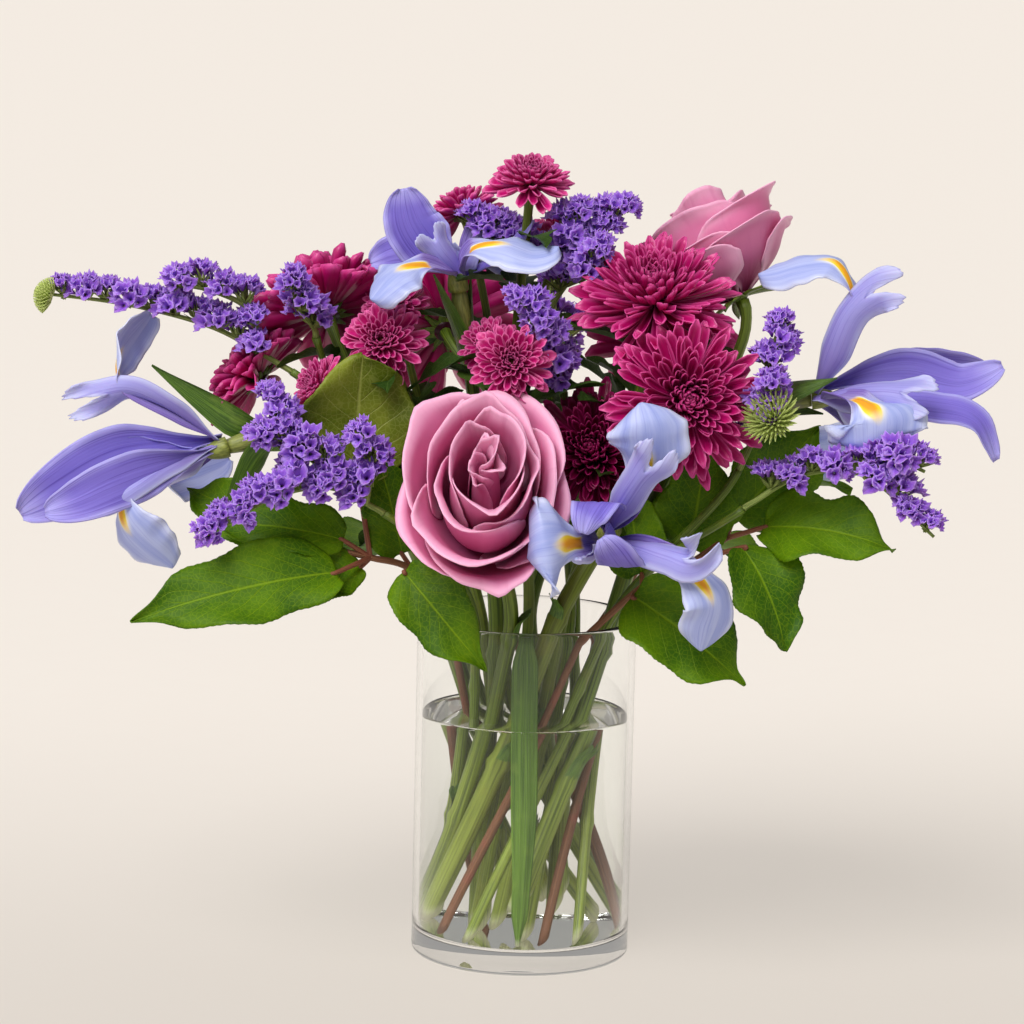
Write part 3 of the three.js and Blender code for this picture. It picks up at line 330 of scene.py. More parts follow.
# Root, body, edge and vein colours of the petals, how strong and how fine the veins are, how far the root's
# colour reaches, how much light goes through, and how much a petal darkens by its tone. The dark root colour
# is partly painted shade down between the petals, the pale edge colour partly a painted highlight on rims and
# tips, and the darkening by tone is painted shade where the tone grows towards a flower's middle
plainPetal = {"veins": 0.5, "fineness": 14.0, "rootEnd": 0.4, "roughness": 0.5, "glow": 0.12, "toneAndShadeDimming": 0.35}
petalLooks = {
    "irisStandard": {
        "colours": ((96, 84, 176), (128, 114, 212), (172, 168, 236), (78, 56, 168)),
        "veins": 0.7, "fineness": 16.0},
    "irisStyle": {
        "colours": ((142, 124, 202), (160, 158, 228), (196, 200, 244), (112, 92, 192)),
        "fineness": 12.0, "rootEnd": 0.7},
    # The rose's deep plum root colour is painted shade in the gaps between its petals, and its pale edge
    # colour a painted highlight on the rolled rims
    "rosePetal": {
        "colours": ((146, 30, 92), (226, 132, 178), (246, 180, 212), (204, 100, 156)),
        "veins": 0.25, "fineness": 9.0, "rootEnd": 0.8, "roughness": 0.46, "glow": 0.16, "toneAndShadeDimming": 0.18},
    "mumPetal": {
        "colours": ((96, 0, 44), (190, 14, 110), (222, 78, 154), (132, 0, 68)),
        "veins": 0.6, "fineness": 4.0, "rootEnd": 0.5, "roughness": 0.34, "toneAndShadeDimming": 0.7},
    # A darker copy of the mum petal: painted shade, for the head that sits deep in the bouquet and for the
    # middles of the heads
    "mumPetalShaded": {
        "colours": ((60, 0, 26), (120, 2, 60), (148, 20, 88), (78, 0, 38)),
        "fineness": 4.0, "rootEnd": 0.5, "roughness": 0.34, "toneAndShadeDimming": 0.7},
    "buttonPetal": {
        "colours": ((128, 2, 70), (202, 24, 122), (232, 104, 170), (146, 6, 84)),
        "veins": 0.45, "fineness": 4.0, "rootEnd": 0.5, "roughness": 0.36, "toneAndShadeDimming": 0.85},
    "staticeCalyx": {
        "colours": ((104, 54, 150), (142, 88, 210), (184, 144, 242), (94, 44, 166)),
        "veins": 0.6, "fineness": 9.0, "rootEnd": 0.5, "roughness": 0.7, "glow": 0.25},
}


def petalMaterial(name):
    look = {**plainPetal, **petalLooks[name]}
    root, body, edge, vein = (paint(*colour) for colour in look["colours"])
    material, tree, shader = startMaterial(name, look["roughness"], {
        "Specular IOR Level": 0.35, **lightThrough(look["glow"], (1.0, 0.5, 0.6))})
    across, u, v = sheetPlace(tree)
    tone = toneOf(tree)
    streak = streaks(tree, across, v, tone, look["fineness"])
    # The darker root colour runs up from each petal's base: partly its deeper base colour, partly painted
    # shade down between the petals
    colour = blend(tree, step(tree, v, 0.0, look["rootEnd"]), root, body)
    # rim is the paler edge and tip, partly the petals' own pale rims and partly a painted highlight on them
    rim = sums(tree, "MAXIMUM", step(tree, u, 0.62, 1.0), step(tree, v, 0.8, 1.0))
    colour = blend(tree, rim, colour, edge)
    colour = blend(tree, times(tree, step(tree, streak, 0.5, 0.72), look["veins"]), colour, vein)
    # A petal darkens by its tone: random on irises and statice, painted shade on the inner petals of roses,
    # mums and buttons, whose tone grows towards the middle
    toneAndShadeDim = blend(tree, times(tree, tone, look["toneAndShadeDimming"]), (1, 1, 1, 1), (0.35, 0.2, 0.3, 1))
    colour = blend(tree, 1.0, colour, toneAndShadeDim, "MULTIPLY")
    tree.links.new(colour, shader.inputs["Base Color"])
    addBump(tree, shader, streak, 0.35, 0.0005)
    return material


# An iris fall: a veined mauve haft, a yellow signal at the bend and a pale blue blade
def fallMaterial():
    material, tree, shader = startMaterial("irisFall", 0.48, lightThrough(0.12, (0.6, 0.6, 1.0)))
    across, u, v = sheetPlace(tree)
    tone = toneOf(tree)
    fine = streaks(tree, across, v, tone, 26.0, 1.5)
    broad = streaks(tree, across, v, tone, 5.0, 2.0)
    blade = blend(tree, step(tree, broad, 0.35, 0.65), paint(156, 168, 228), paint(180, 190, 238))
    blade = blend(tree, step(tree, u, 0.7, 1.0), blade, paint(208, 214, 246))
    blade = blend(tree, times(tree, step(tree, fine, 0.52, 0.66), 0.26), blade, paint(116, 118, 208))
    haft = blend(tree, step(tree, u, 0.1, 1.0), paint(172, 160, 214), paint(140, 120, 196))
    haft = blend(tree, times(tree, step(tree, fine, 0.45, 0.6), 0.65), haft, paint(98, 66, 158))
    colour = blend(tree, step(tree, v, 0.4, 0.54), haft, blade)
    reach = times(tree, step(tree, v, 0.36, 0.42), step(tree, v, 0.74, 0.6))
    width = times(tree, step(tree, v, 0.8, 0.42), 0.42)
    edge = sums(tree, "SUBTRACT", width, u)
    halo = times(tree, step(tree, edge, -0.16, 0.02), reach)
    signal = times(tree, step(tree, edge, -0.02, 0.04), reach)
    colour = blend(tree, halo, colour, paint(238, 236, 226))
    yellow = blend(tree, step(tree, edge, 0.03, 0.2), paint(250, 214, 30), paint(238, 160, 20))
    colour = blend(tree, signal, colour, yellow)
    tree.links.new(colour, shader.inputs["Base Color"])
    addBump(tree, shader, fine, 0.3, 0.0004)
    return material


# A glossy leaf with a pale midrib, forked side veins and a fine net between them
def leafMaterial(name, colours, roughness, sideVeins=8.0):
    dark, light, vein = (paint(*colour) for colour in colours)
    material, tree, shader = startMaterial(name, roughness, {
        "Specular IOR Level": 0.18, **lightThrough(0.06, (0.5, 1.0, 0.2))})
    across, u, v = sheetPlace(tree)
    wander = mottle(tree, 55.0, 2.0)
    lines = sums(tree, "MULTIPLY_ADD", u, -0.34, v)
    lines = sums(tree, "MULTIPLY_ADD", wander, 0.06, lines)
    lines = sums(tree, "PINGPONG", times(tree, lines, sideVeins), 0.5)
    side = times(tree, step(tree, lines, 0.05, 0.0), step(tree, u, 1.05, 0.6))
    rib = step(tree, u, 0.05, 0.01)
    veins = sums(tree, "MAXIMUM", times(tree, side, 0.8), rib)
    inputs = {"Vector": objectPlace(tree), "Scale": 420.0}
    net = addNode(tree, "ShaderNodeTexVoronoi", inputs, feature="DISTANCE_TO_EDGE").outputs[0]
    colour = blend(tree, step(tree, mottle(tree, 40.0, 4.0), 0.3, 0.7), dark, light)
    colour = blend(tree, times(tree, step(tree, net, 0.1, 0.0), 0.22), colour, vein)
    colour = blend(tree, times(tree, veins, 0.45), colour, vein)
    tree.links.new(colour, shader.inputs["Base Color"])
    relief = sums(tree, "MULTIPLY_ADD", net, 0.5, times(tree, veins, -0.7))
    addBump(tree, shader, relief, 0.5, 0.0006)
    return material


# Stems: long fibres, paler under water, almost white at the cut foot, with browner patches
def stemMaterial(name, colours, roughness, pale=None):
    dark, light, patch = (paint(*colour) for colour in colours)
    material, tree, shader = startMaterial(name, roughness)
    across, u, v = sheetPlace(tree)
    tone = toneOf(tree)
    fibres = streaks(tree, across, v, tone, 16.0, 4.0, 4.0)
    colour = blend(tree, step(tree, fibres, 0.35, 0.65), dark, light)
    colour = blend(tree, times(tree, tone, 0.45), colour, patch)
    colour = blend(tree, times(tree, step(tree, mottle(tree, 90.0), 0.56, 0.7), 0.4), colour, patch)
    if pale:
        height = split(tree, objectPlace(tree))[2]
        # The fibres turn paler below about 130 mm, under the water
        underWater = times(tree, step(tree, height, 0.13, 0.07), step(tree, fibres, 0.2, 0.8))
        colour = blend(tree, times(tree, underWater, 0.75), colour, paint(*pale))
        bleached = times(tree, step(tree, v, 0.03, 0.0), step(tree, height, 0.04, 0.03))
        colour = blend(tree, times(tree, bleached, 0.6), colour, paint(236, 236, 206))
    tree.links.new(colour, shader.inputs["Base Color"])
    addBump(tree, shader, fibres, 0.6, 0.0006)
    return material


# shade is how much of its colour the floor shows under the lights, and glow is how much it shows by itself
floorLook = {"shade": 0.36, "glow": 0.635}


# The floor's colour is a little darker towards the front and the right: painted shade where the studio light
# falls off
def floorMaterial():
    material, tree, shader = startMaterial("paleFloor", 0.8)
    parts = split(tree, objectPlace(tree))
    away = sums(tree, "MULTIPLY_ADD", parts[0], -0.25, parts[1])
    colour = blend(tree, step(tree, away, -0.3, 0.7), paint(220, 212, 203), paint(242, 234, 225))
    colour = blend(tree, times(tree, mottle(tree, 40.0, 4.0), 0.03), colour, paint(200, 190, 180))
    shade = (*(floorLook["shade"],) * 3, 1)
    tree.links.new(blend(tree, 1.0, colour, shade, "MULTIPLY"), shader.inputs["Base Color"])
    tree.links.new(colour, shader.inputs["Emission Color"])  # a glow of its own keeps the shadow on it faint
    shader.inputs["Emission Strength"].default_value = floorLook["glow"]
    return material


glassFinish = clearMaterial("vaseGlass", (0.985, 0.995, 0.99, 1), 1.5, 0.015, 25.0)
waterFinish = clearMaterial("vaseWater", (0.985, 0.995, 0.98, 1), 1.33, 0.03, 60.0)
# Dark, light and patch or vein colours
stemFinish = stemMaterial("greenStem", ((52, 80, 10), (118, 146, 40), (126, 128, 40)), 0.4, (168, 184, 78))
woodFinish = stemMaterial("woodyStem", ((96, 66, 40), (140, 98, 62), (150, 70, 60)), 0.6)
pithFinish = stemMaterial("cutStem", ((226, 224, 190), (240, 238, 214), (214, 206, 160)), 0.7)
bladeFinish = stemMaterial("irisLeaf", ((46, 82, 14), (92, 128, 34), (116, 142, 54)), 0.38, (112, 148, 46))
ovaryFinish = stemMaterial("irisOvary", ((110, 122, 30), (150, 160, 62), (120, 100, 130)), 0.45)
heartFinish = stemMaterial("buttonHeart", ((84, 20, 30), (134, 96, 34), (112, 40, 36)), 0.6)
bractFinish = stemMaterial("staticeBract", ((88, 112, 36), (158, 178, 92), (150, 140, 84)), 0.6)
brushFinish = stemMaterial("staticeBrush", ((172, 196, 92), (222, 232, 146), (196, 212, 120)), 0.6)
leafFinish = leafMaterial("salalLeaf", ((48, 86, 0), (86, 122, 0), (138, 168, 16)), 0.55)
mumLeafFinish = leafMaterial("mumLeaf", ((34, 62, 14), (66, 94, 30), (104, 130, 62)), 0.55, 5.0)
oliveFinish = leafMaterial("oliveLeaf", ((92, 106, 22), (128, 138, 44), (172, 178, 96)), 0.42, 6.0)
fallFinish = fallMaterial()
standardFinish = petalMaterial("irisStandard")
styleFinish = petalMaterial("irisStyle")
roseFinish = petalMaterial("rosePetal")
mumFinish = petalMaterial("mumPetal")
mumShadedFinish = petalMaterial("mumPetalShaded")
buttonFinish = petalMaterial("buttonPetal")
staticeFinish = petalMaterial("staticeCalyx")

print("stage: vase and water")

vase = {"radius": 51.0, "height": 160.0, "wall": 3.0, "floor": 10.0, "corner": 4.0, "foot": 2.2, "steps": 96}
water = {"level": 113.0, "overlap": -0.12, "meniscus": 1.3}


def arc(centre, radius, start, end, count):
    turns = [radians(between(start, end, k / count)) for k in range(count + 1)]
    return [(centre[0] + radius * cos(turn), centre[1] + radius * sin(turn)) for turn in turns]


# Turns a profile of (r, z) from the axis round to the axis into a closed body
def addTurned(mesh, profile, steps):
    verts = [mesh.verts.new((r, 0, z)) for r, z in profile]
    edges = [mesh.edges.new(pair) for pair in zip(verts, verts[1:])]
    bmesh.ops.spin(
        mesh, geom=verts + edges, cent=(0, 0, 0), axis=(0, 0, 1), angle=2 * pi, steps=steps,
        use_merge=True, use_duplicate=False)
    bmesh.ops.remove_doubles(mesh, verts=mesh.verts, dist=0.0005)
    bmesh.ops.recalc_face_normals(mesh, faces=mesh.faces)


# The profile runs from the middle of the underside up the outside, over the rim and down to the floor
def makeVase():
    mesh = startMesh()
    outer, height, foot = vase["radius"], vase["height"], vase["foot"]
    floorTop, corner = vase["floor"], vase["corner"]
    inner = outer - vase["wall"]
    half = vase["wall"] / 2
    profile = [(0, 1.2), (outer * 0.5, 1.1), (outer - 9, 0.6)] + arc((outer - 6.5, 0.9), 0.9, 200, 270, 4)
    profile += arc((outer - foot, foot), foot, -90, 0, 8)
    profile += [(outer, foot + 3), (outer, height / 2), (outer, height - 5)]
    profile += arc((outer - half, height - half), half, 0, 180, 10)
    profile += [(inner, height - 5), (inner, height / 2), (inner, floorTop + corner + 3)]
    profile += arc((inner - corner, floorTop + corner), corner, 0, -90, 8)
    profile += [(r, floorTop) for r in (inner - 5.5, inner - 8, inner * 0.5, 0)]
    addTurned(mesh, profile, vase["steps"])
    return finishPiece("glassVase", mesh, [glassFinish], ["vase"])


# The water stays a little away from the glass, so that they never cross, and its rim stands up against it
def makeWater():
    mesh = startMesh()
    reach = vase["radius"] - vase["wall"] + water["overlap"]
    bottom = vase["floor"] - water["overlap"]
    level, corner, meniscus = water["level"], vase["corner"], water["meniscus"]
    profile = [(r, bottom) for r in (0, reach * 0.5, reach - 8, reach - 5.5)]
    profile += arc((reach - corner, bottom + corner), corner, -90, 0, 8)
    profile += [(reach, bottom + corner + 3), (reach, level * 0.5), (reach, level - 3), (reach, level - 0.1)]
    profile += [(reach, level + meniscus), (reach - 0.1, level + meniscus - 0.1)]
    profile += [(reach - 0.5, level + 0.55), (reach - 1.3, level + 0.18), (reach - 2.4, level + 0.04)]
    profile += [(r, level) for r in (reach - 3.6, reach - 5, reach * 0.5, 0)]
    addTurned(mesh, profile, vase["steps"])
    return finishPiece("vaseWater", mesh, [waterFinish], ["water"])


for clear in (makeVase(), makeWater()):
    clear.visible_shadow = False  # the stems inside get the same light as the flowers
    clear.visible_diffuse = False

print("stage: flower places")

# A flower's middle as it is seen, the way it faces, its radius, and how far its base lies behind the middle
def bloomAt(centre, facing, radius, depth=0.3, reach=36.0):
    base = Vector(centre) - Vector(facing).normalized() * depth * radius
    return {"base": base, "facing": Vector(facing), "radius": radius, "reach": reach}


def placeOn(bloom, turn=0.0):
    return frameAt(bloom["base"], bloom["facing"], turn)


roses = {
    "rose_front": bloomAt((-20.5, -72, 226.5), (-0.02, -0.78, 0.62), 42, 0.62, 20),
    "rose_back": bloomAt((84, 35, 327), (-0.5, 0.25, 0.83), 34, 0.75),
}
mums = {
    "mum_top": bloomAt((54, -28, 316), (-0.1, -0.55, 0.83), 38),
    "mum_front": bloomAt((69, -62, 270), (0.1, -0.97, 0.2), 37, 0.3, 24),
    "mum_dark": bloomAt((27, -32, 243), (-0.1, -0.93, 0.36), 32, 0.3, 20),
    "mum_left": bloomAt((-98, 25, 302), (-0.25, 0.62, 0.74), 36),
    "mum_far_left": bloomAt((-131, 8, 270), (-0.75, 0.25, 0.6), 26),
    "mum_back_right": bloomAt((66, 74, 282), (0.35, 0.75, 0.55), 36),
    "mum_back_left": bloomAt((-45, 82, 288), (-0.25, 0.85, 0.45), 37),
}
buttons = {
    "button_left": bloomAt((-69, -27, 289), (-0.15, -0.9, 0.4), 20, 0.3, 18),
    "button_side": bloomAt((-99, -22, 267), (-0.8, -0.45, 0.4), 17, 0.3, 20),
    "button_under_iris": bloomAt((-66, 6, 304), (-0.25, -0.6, 0.75), 17, 0.3, 18),
    "button_crown": bloomAt((-3, 0, 363), (0.05, -0.4, 0.91), 20.5),
    "button_crown_left": bloomAt((-35, 32, 346), (-0.3, 0.45, 0.84), 18.5),
    "button_crown_back": bloomAt((12, 38, 334), (0.25, 0.4, 0.88), 19),
    "button_centre": bloomAt((-10, -47, 283), (0, -0.95, 0.3), 19.5, 0.3, 22),
    "button_inner": bloomAt((-20, -16, 287), (-0.1, -0.85, 0.5), 15, 0.3, 15),
}
# Each petal that shows: its kind, half width, where a fall's blade starts, and the points it runs through,
# with the way its upper face looks at each. The rest stand at turn round the flower's axis
irises = {
    "iris_left": {
        "base": (-139, -20, 238), "facing": (-0.93, -0.2, -0.28), "reach": 45,
        "petals": [
            ("fall", 12, 0.58, [(-141, -20, 240, -0.4, -0.1, -0.9), (-162, -24, 253, -0.45, -0.1, -0.9),
                (-183, -26, 264, -0.7, -0.1, -0.5), (-189, -24, 272, -1, 0.1, 0.1),
                (-187, -16, 283, -0.8, 0.6, 0.2), (-176, -6, 297, -0.6, 0.7, 0.4)]),
            ("style", 8, 0.46, [(-143, -22, 241, -0.3, -0.5, -0.8), (-165, -28, 256, -0.3, -0.5, -0.8),
                (-183, -32, 264, -0.1, -0.9, -0.3), (-198, -34, 261, 0, -1, 0.1),
                (-212, -34, 256, 0, -1, 0.1)]),
            ("fall", 17, 0.52, [(-141, -20, 238, -0.3, 0, 0.9), (-160, -26, 230, -0.3, 0, 0.9),
                (-177, -34, 224, -0.5, -0.2, 0.8), (-185, -40, 216, -0.9, -0.4, 0.3),
                (-183, -42, 204, -0.75, -0.65, 0), (-174, -40, 193, -0.6, -0.75, -0.3),
                (-162, -36, 184, -0.4, -0.8, -0.4)]),
            ("style", 7, 0.46, [(-144, -24, 239, 0, -0.4, 0.9), (-164, -34, 232, 0, -0.5, 0.85),
                (-179, -44, 223, 0, -0.7, 0.7), (-190, -46, 217, 0, -0.9, 0.4),
                (-202, -46, 214, 0, -1, 0.3)]),
            ("standard", 16, 0.46, [(-142, -16, 241, 0.1, -0.9, 0.3), (-167, -24, 237, 0, -0.95, 0.3),
                (-191, -32, 231, 0, -1, 0.1), (-213, -38, 219, 0, -1, 0.1), (-231, -40, 208, 0, -1, 0.1)]),
            ("standard", 12, 0.46, [(-144, -22, 238, 0.1, -0.9, -0.2), (-166, -36, 231, 0, -0.95, -0.1),
                (-188, -46, 223, 0, -1, 0.1), (-205, -48, 215, 0, -1, 0.3), (-219, -46, 210, 0, -1, 0.3)]),
        ],
        "falls": [{"turn": 195, "open": 55}], "standards": [{"turn": 150, "lean": 8}], "standardLength": 86,
        "spathe": {"turn": 112, "length": 68, "lean": 50, "twist": 62},
    },
    "iris_top": {
        "base": (-35, -5, 311), "facing": (-0.15, -0.2, 0.96), "reach": 40,
        "petals": [
            ("standard", 14, 0.46, [(-34, -5, 316, 0.2, -0.9, 0.3), (-46, -8, 327, 0.2, -0.9, 0.2),
                (-57, -10, 341, 0.3, -0.9, 0), (-61, -8, 357, 0.3, -0.9, -0.1)]),
            ("standard", 10, 0.46, [(-36, -2, 316, 0.2, -0.9, 0.4), (-50, 2, 324, 0.1, -0.9, 0.4),
                (-64, 6, 326, 0, -0.9, 0.4), (-76, 8, 321, 0, -0.9, 0.4)]),
            ("style", 8, 0.46, [(-33, -8, 318, 0.3, -0.9, 0.2), (-42, -16, 329, 0.3, -0.9, 0.1),
                (-50, -18, 340, 0.3, -0.9, 0)]),
            ("fall", 15, 0.45, [(-34, -10, 317, 0, -0.4, 0.9), (-45, -22, 322, 0, -0.5, 0.85),
                (-56, -30, 324, -0.2, -0.5, 0.8), (-66, -36, 319, -0.4, -0.5, 0.7),
                (-74, -38, 309, -0.5, -0.5, 0.6)]),
            ("fall", 13, 0.28, [(-33, -8, 318, -0.9, -0.3, 0.1), (-31, -14, 327, -0.8, -0.3, 0.5),
                (-25, -20, 333, -0.2, -0.4, 0.9), (-13, -26, 334, 0.1, -0.45, 0.85),
                (-1, -30, 331, 0.1, -0.5, 0.85), (10, -30, 334, 0, -0.5, 0.85)]),
        ],
        "falls": [{"turn": 105, "open": 62}], "standards": [{"turn": 60, "lean": 66}], "standardLength": 44,
        "styleLength": 16, "spathe": {"turn": 250, "length": 40, "lean": 14},
    },
    "iris_right": {
        "base": (127, -25, 267), "facing": (0.99, -0.05, 0.1), "reach": 45,
        "petals": [
            ("fall", 13, 0.5, [(129.5, -26, 269, 0.9, -0.2, -0.2), (132, -30, 286, 0.9, -0.3, 0.1),
                (139, -34, 302, 0.9, -0.3, 0.2), (142, -36, 318, 0.7, -0.3, 0.6),
                (135, -34, 330, 0.1, -0.35, 0.93), (122, -30, 330, -0.2, -0.4, 0.9),
                (110, -26, 326, -0.3, -0.4, 0.85), (101, -22, 323, -0.4, -0.4, 0.8)]),
            ("style", 10, 0.46, [(128, -28, 269, -0.4, -0.9, 0), (134, -38, 289, -0.4, -0.9, 0),
                (141, -44, 308, -0.3, -0.9, 0.2), (152, -48, 319, 0, -0.9, 0.4),
                (165, -50, 322, 0.1, -0.9, 0.4)]),
            ("style", 11, 0.46, [(127, -32, 268, 0, -0.7, 0.7), (143, -44, 273, 0, -0.75, 0.65),
                (157, -52, 275, 0, -0.8, 0.6), (169, -56, 274, 0, -0.85, 0.5),
                (179, -58, 271, 0, -0.9, 0.4)]),
            ("standard", 11, 0.46, [(129, -20, 269, 0, -0.9, 0.4), (149, -22, 277, 0, -0.9, 0.4),
                (171, -24, 280, 0, -0.9, 0.3), (194, -26, 276, 0, -0.85, 0.5),
                (213, -26, 284, 0, -0.9, 0.4)]),
            ("standard", 9, 0.46, [(130, -24, 267, 0, -0.8, 0.6), (153, -34, 266, 0, -0.7, 0.7),
                (179, -38, 266, 0.1, -0.7, 0.7), (200, -38, 261, 0.5, -0.7, 0.5),
                (210, -36, 242, 0.8, -0.6, 0.1)]),
            ("fall", 23, 0.5, [(131, -29, 266, 0, 0.2, 1), (136, -44, 270, 0, 0, 1),
                (147, -58, 270, 0, -0.5, 0.85), (153, -66, 265, 0, -0.9, 0.4), (154, -66, 255, 0, -1, 0.1),
                (156, -60, 246, 0, -1, -0.2)]),
        ],
        "falls": [{"turn": 325, "open": 60}], "standards": [{"turn": 20, "lean": 14}], "standardLength": 80,
        "spathe": {"turn": 140, "length": 42, "lean": 20},
    },
    "iris_front": {
        "base": (35, -54, 207), "facing": (-0.12, -0.98, 0.02), "reach": 20,
        "petals": [
            ("fall", 22, 0.5, [(32, -58, 205, 0, -0.9, 0.3), (24, -84, 208, -0.1, -0.95, 0.2),
                (16, -100, 210, -0.1, -1, 0.1), (8, -108, 210, -0.3, -0.9, 0.1),
                (2, -106, 208, -0.8, -0.6, 0), (-1, -98, 203, -0.9, -0.4, 0)]),
            ("fall", 13, 0.5, [(36, -60, 206, 0, -0.9, 0.4), (49, -78, 205, 0, -0.9, 0.4),
                (63, -88, 201, 0.1, -0.9, 0.4), (74, -95, 195, 0.4, -0.85, 0.4),
                (81, -96, 184, 0.5, -0.85, 0.2), (79, -92, 172, 0.3, -0.95, 0),
                (77, -86, 161, 0.2, -0.95, -0.2)]),
            ("fall", 18, 0.5, [(34, -60, 208, -0.1, -0.9, -0.2), (41, -74, 222, 0, -0.95, -0.2),
                (48, -86, 238, 0, -1, 0), (51, -94, 251, 0, -1, 0), (50, -97, 263, 0, -0.95, 0.3),
                (47, -92, 272, 0, -0.85, 0.5)]),
            ("style", 10, 0.46, [(37, -66, 207, 0.1, -0.8, 0.6), (49, -88, 208, 0.1, -0.8, 0.6),
                (61, -98, 206, 0.1, -0.85, 0.5), (71, -104, 205, 0.2, -0.9, 0.3),
                (79, -106, 215, 0.5, -0.85, 0)]),
            ("style", 10, 0.46, [(34, -68, 210, -0.2, -0.95, 0), (40, -84, 225, -0.2, -0.95, 0),
                (47, -97, 239, -0.1, -1, 0), (53, -104, 248, 0, -1, 0), (57, -104, 256, 0.2, -0.95, 0.1)]),
            ("style", 9, 0.46, [(34, -62, 202, -0.3, -0.8, 0.5), (30, -82, 204, -0.3, -0.8, 0.5),
                (25, -98, 206, -0.4, -0.9, 0.2)]),
            ("standard", 11, 0.46, [(35, -60, 209, 0, 0, -1), (33, -76, 222, 0, -0.3, -0.9),
                (29, -94, 228, 0, 0, -1), (25, -106, 224, 0, 1, -0.3), (23, -108, 216, 0, 1, 0)]),
            ("standard", 11, 0.46, [(39, -60, 196, 0, 0, 1), (41, -82, 197, 0, 0, 1),
                (39, -98, 202, 0, 0.4, 0.9), (34, -106, 210, 0, 0.9, 0.4), (31, -106, 214, 0, 1, 0.1)]),
        ],
        "falls": [], "standards": [{"turn": 20, "lean": 5}], "standardLength": 46,
        "spathe": {"turn": 240, "length": 30, "lean": 20},
    },
}
for iris in irises.values():
    iris["base"], iris["facing"] = Vector(iris["base"]), Vector(iris["facing"])

print("stage: stems")

spirals = {
    "outer": {"footRadius": 36.0, "rimRadius": 37.5, "twist": 100.0},
    "inner": {"footRadius": 16.0, "rimRadius": 20.0, "twist": 80.0},
}
stemRun = {
    "foot": 14.0, "rim": 152.0, "steps": 30, "sides": 14, "slant": 1.9, "joint": 0.34, "rise": 32.0,
    "branchRise": 20.0, "branchFrom": 0.35, "branchShare": 0.72, "ovary": 26.0, "gap": 0.3,
}


def polar(radius, degrees, z):
    return Vector((radius * cos(radians(degrees)), radius * sin(radians(degrees)), z))


def lineInVase(ring, angle):
    spiral = spirals[ring]
    start = polar(spiral["footRadius"], angle - spiral["twist"], stemRun["foot"])
    end = polar(spiral["rimRadius"], angle, stemRun["rim"])
    return start, end, (end - start).normalized()


def seatOf(bloom):
    below = stemRun["ovary"] - 4 if "spathe" in bloom else stemRun["gap"]
    ahead = bloom["facing"].normalized()
    return bloom["base"] - ahead * below, ahead * bloom.get("reach", 36.0)


# wrap is how far a sheath reaches round its stem on each side, in degrees
sheath = {"wrap": 80.0, "gap": 0.35, "flare": 3.2, "length": (12, 24)}


# The torn foot of a leaf that was stripped off, standing at a joint
def addSheath(mesh, foot, direction, radius, turn, length):
    def shape(t, s):
        wrap = radians(sheath["wrap"]) * s * (1 - 0.6 * t * t)
        reach = radius + sheath["gap"] + sheath["flare"] * ease(t, 0.3, 1.0) ** 2
        ragged = 1 - 0.2 * abs(sin(5 * s)) * t
        return Vector((reach * cos(wrap), reach * sin(wrap), length * t * ragged))

    addSheet(mesh, 10, 8, shape, 0.1, 3, frameAt(foot, direction, turn))


# A smooth stem from its cut foot to its first flower, with a branch to each of the others. One that doesn't
# flare under its flower has no sheaths
def addStem(mesh, ring, angle, radius, knots, short, heads, tone, flare=1.25):
    start, rim, direction = lineInVase(ring, angle)
    start = start + direction * short
    end, arriving = seatOf(heads[0])
    bend = bezier(rim, direction * stemRun["rise"], end, arriving)
    steps = stemRun["steps"]
    straight = [start.lerp(rim, k / steps) for k in range(steps)]
    points = straight + bend

    def radiusAt(t):
        swell = sum(stemRun["joint"] * exp(-((t - knot) / 0.009) ** 2) for knot in knots)
        neck = 0.8 + 0.2 * ease(t, 1.0, 0.6)
        return radius * (neck + swell + (flare - 1) * ease(t, 0.96, 1.0))

    addTube(mesh, points, radiusAt, stemRun["sides"], tone, 0, stemRun["slant"], 1)
    for knot in knots if flare > 1 else ():
        foot = points[round(knot * (len(points) - 1))]
        addSheath(mesh, foot, direction, radius, uniform(0, 360), uniform(*sheath["length"]))
    for k, head in enumerate(heads[1:]):
        origin, heading = along(bend, stemRun["branchFrom"] + 0.1 * k)
        end, arriving = seatOf(head)
        branch = bezier(origin, heading * stemRun["branchRise"], end, arriving, 18)
        thin = radius * stemRun["branchShare"]
        addTube(mesh, branch, lambda t: thin * (1 + 0.3 * ease(t, 0.93, 1.0)), 10, tone)
    return points


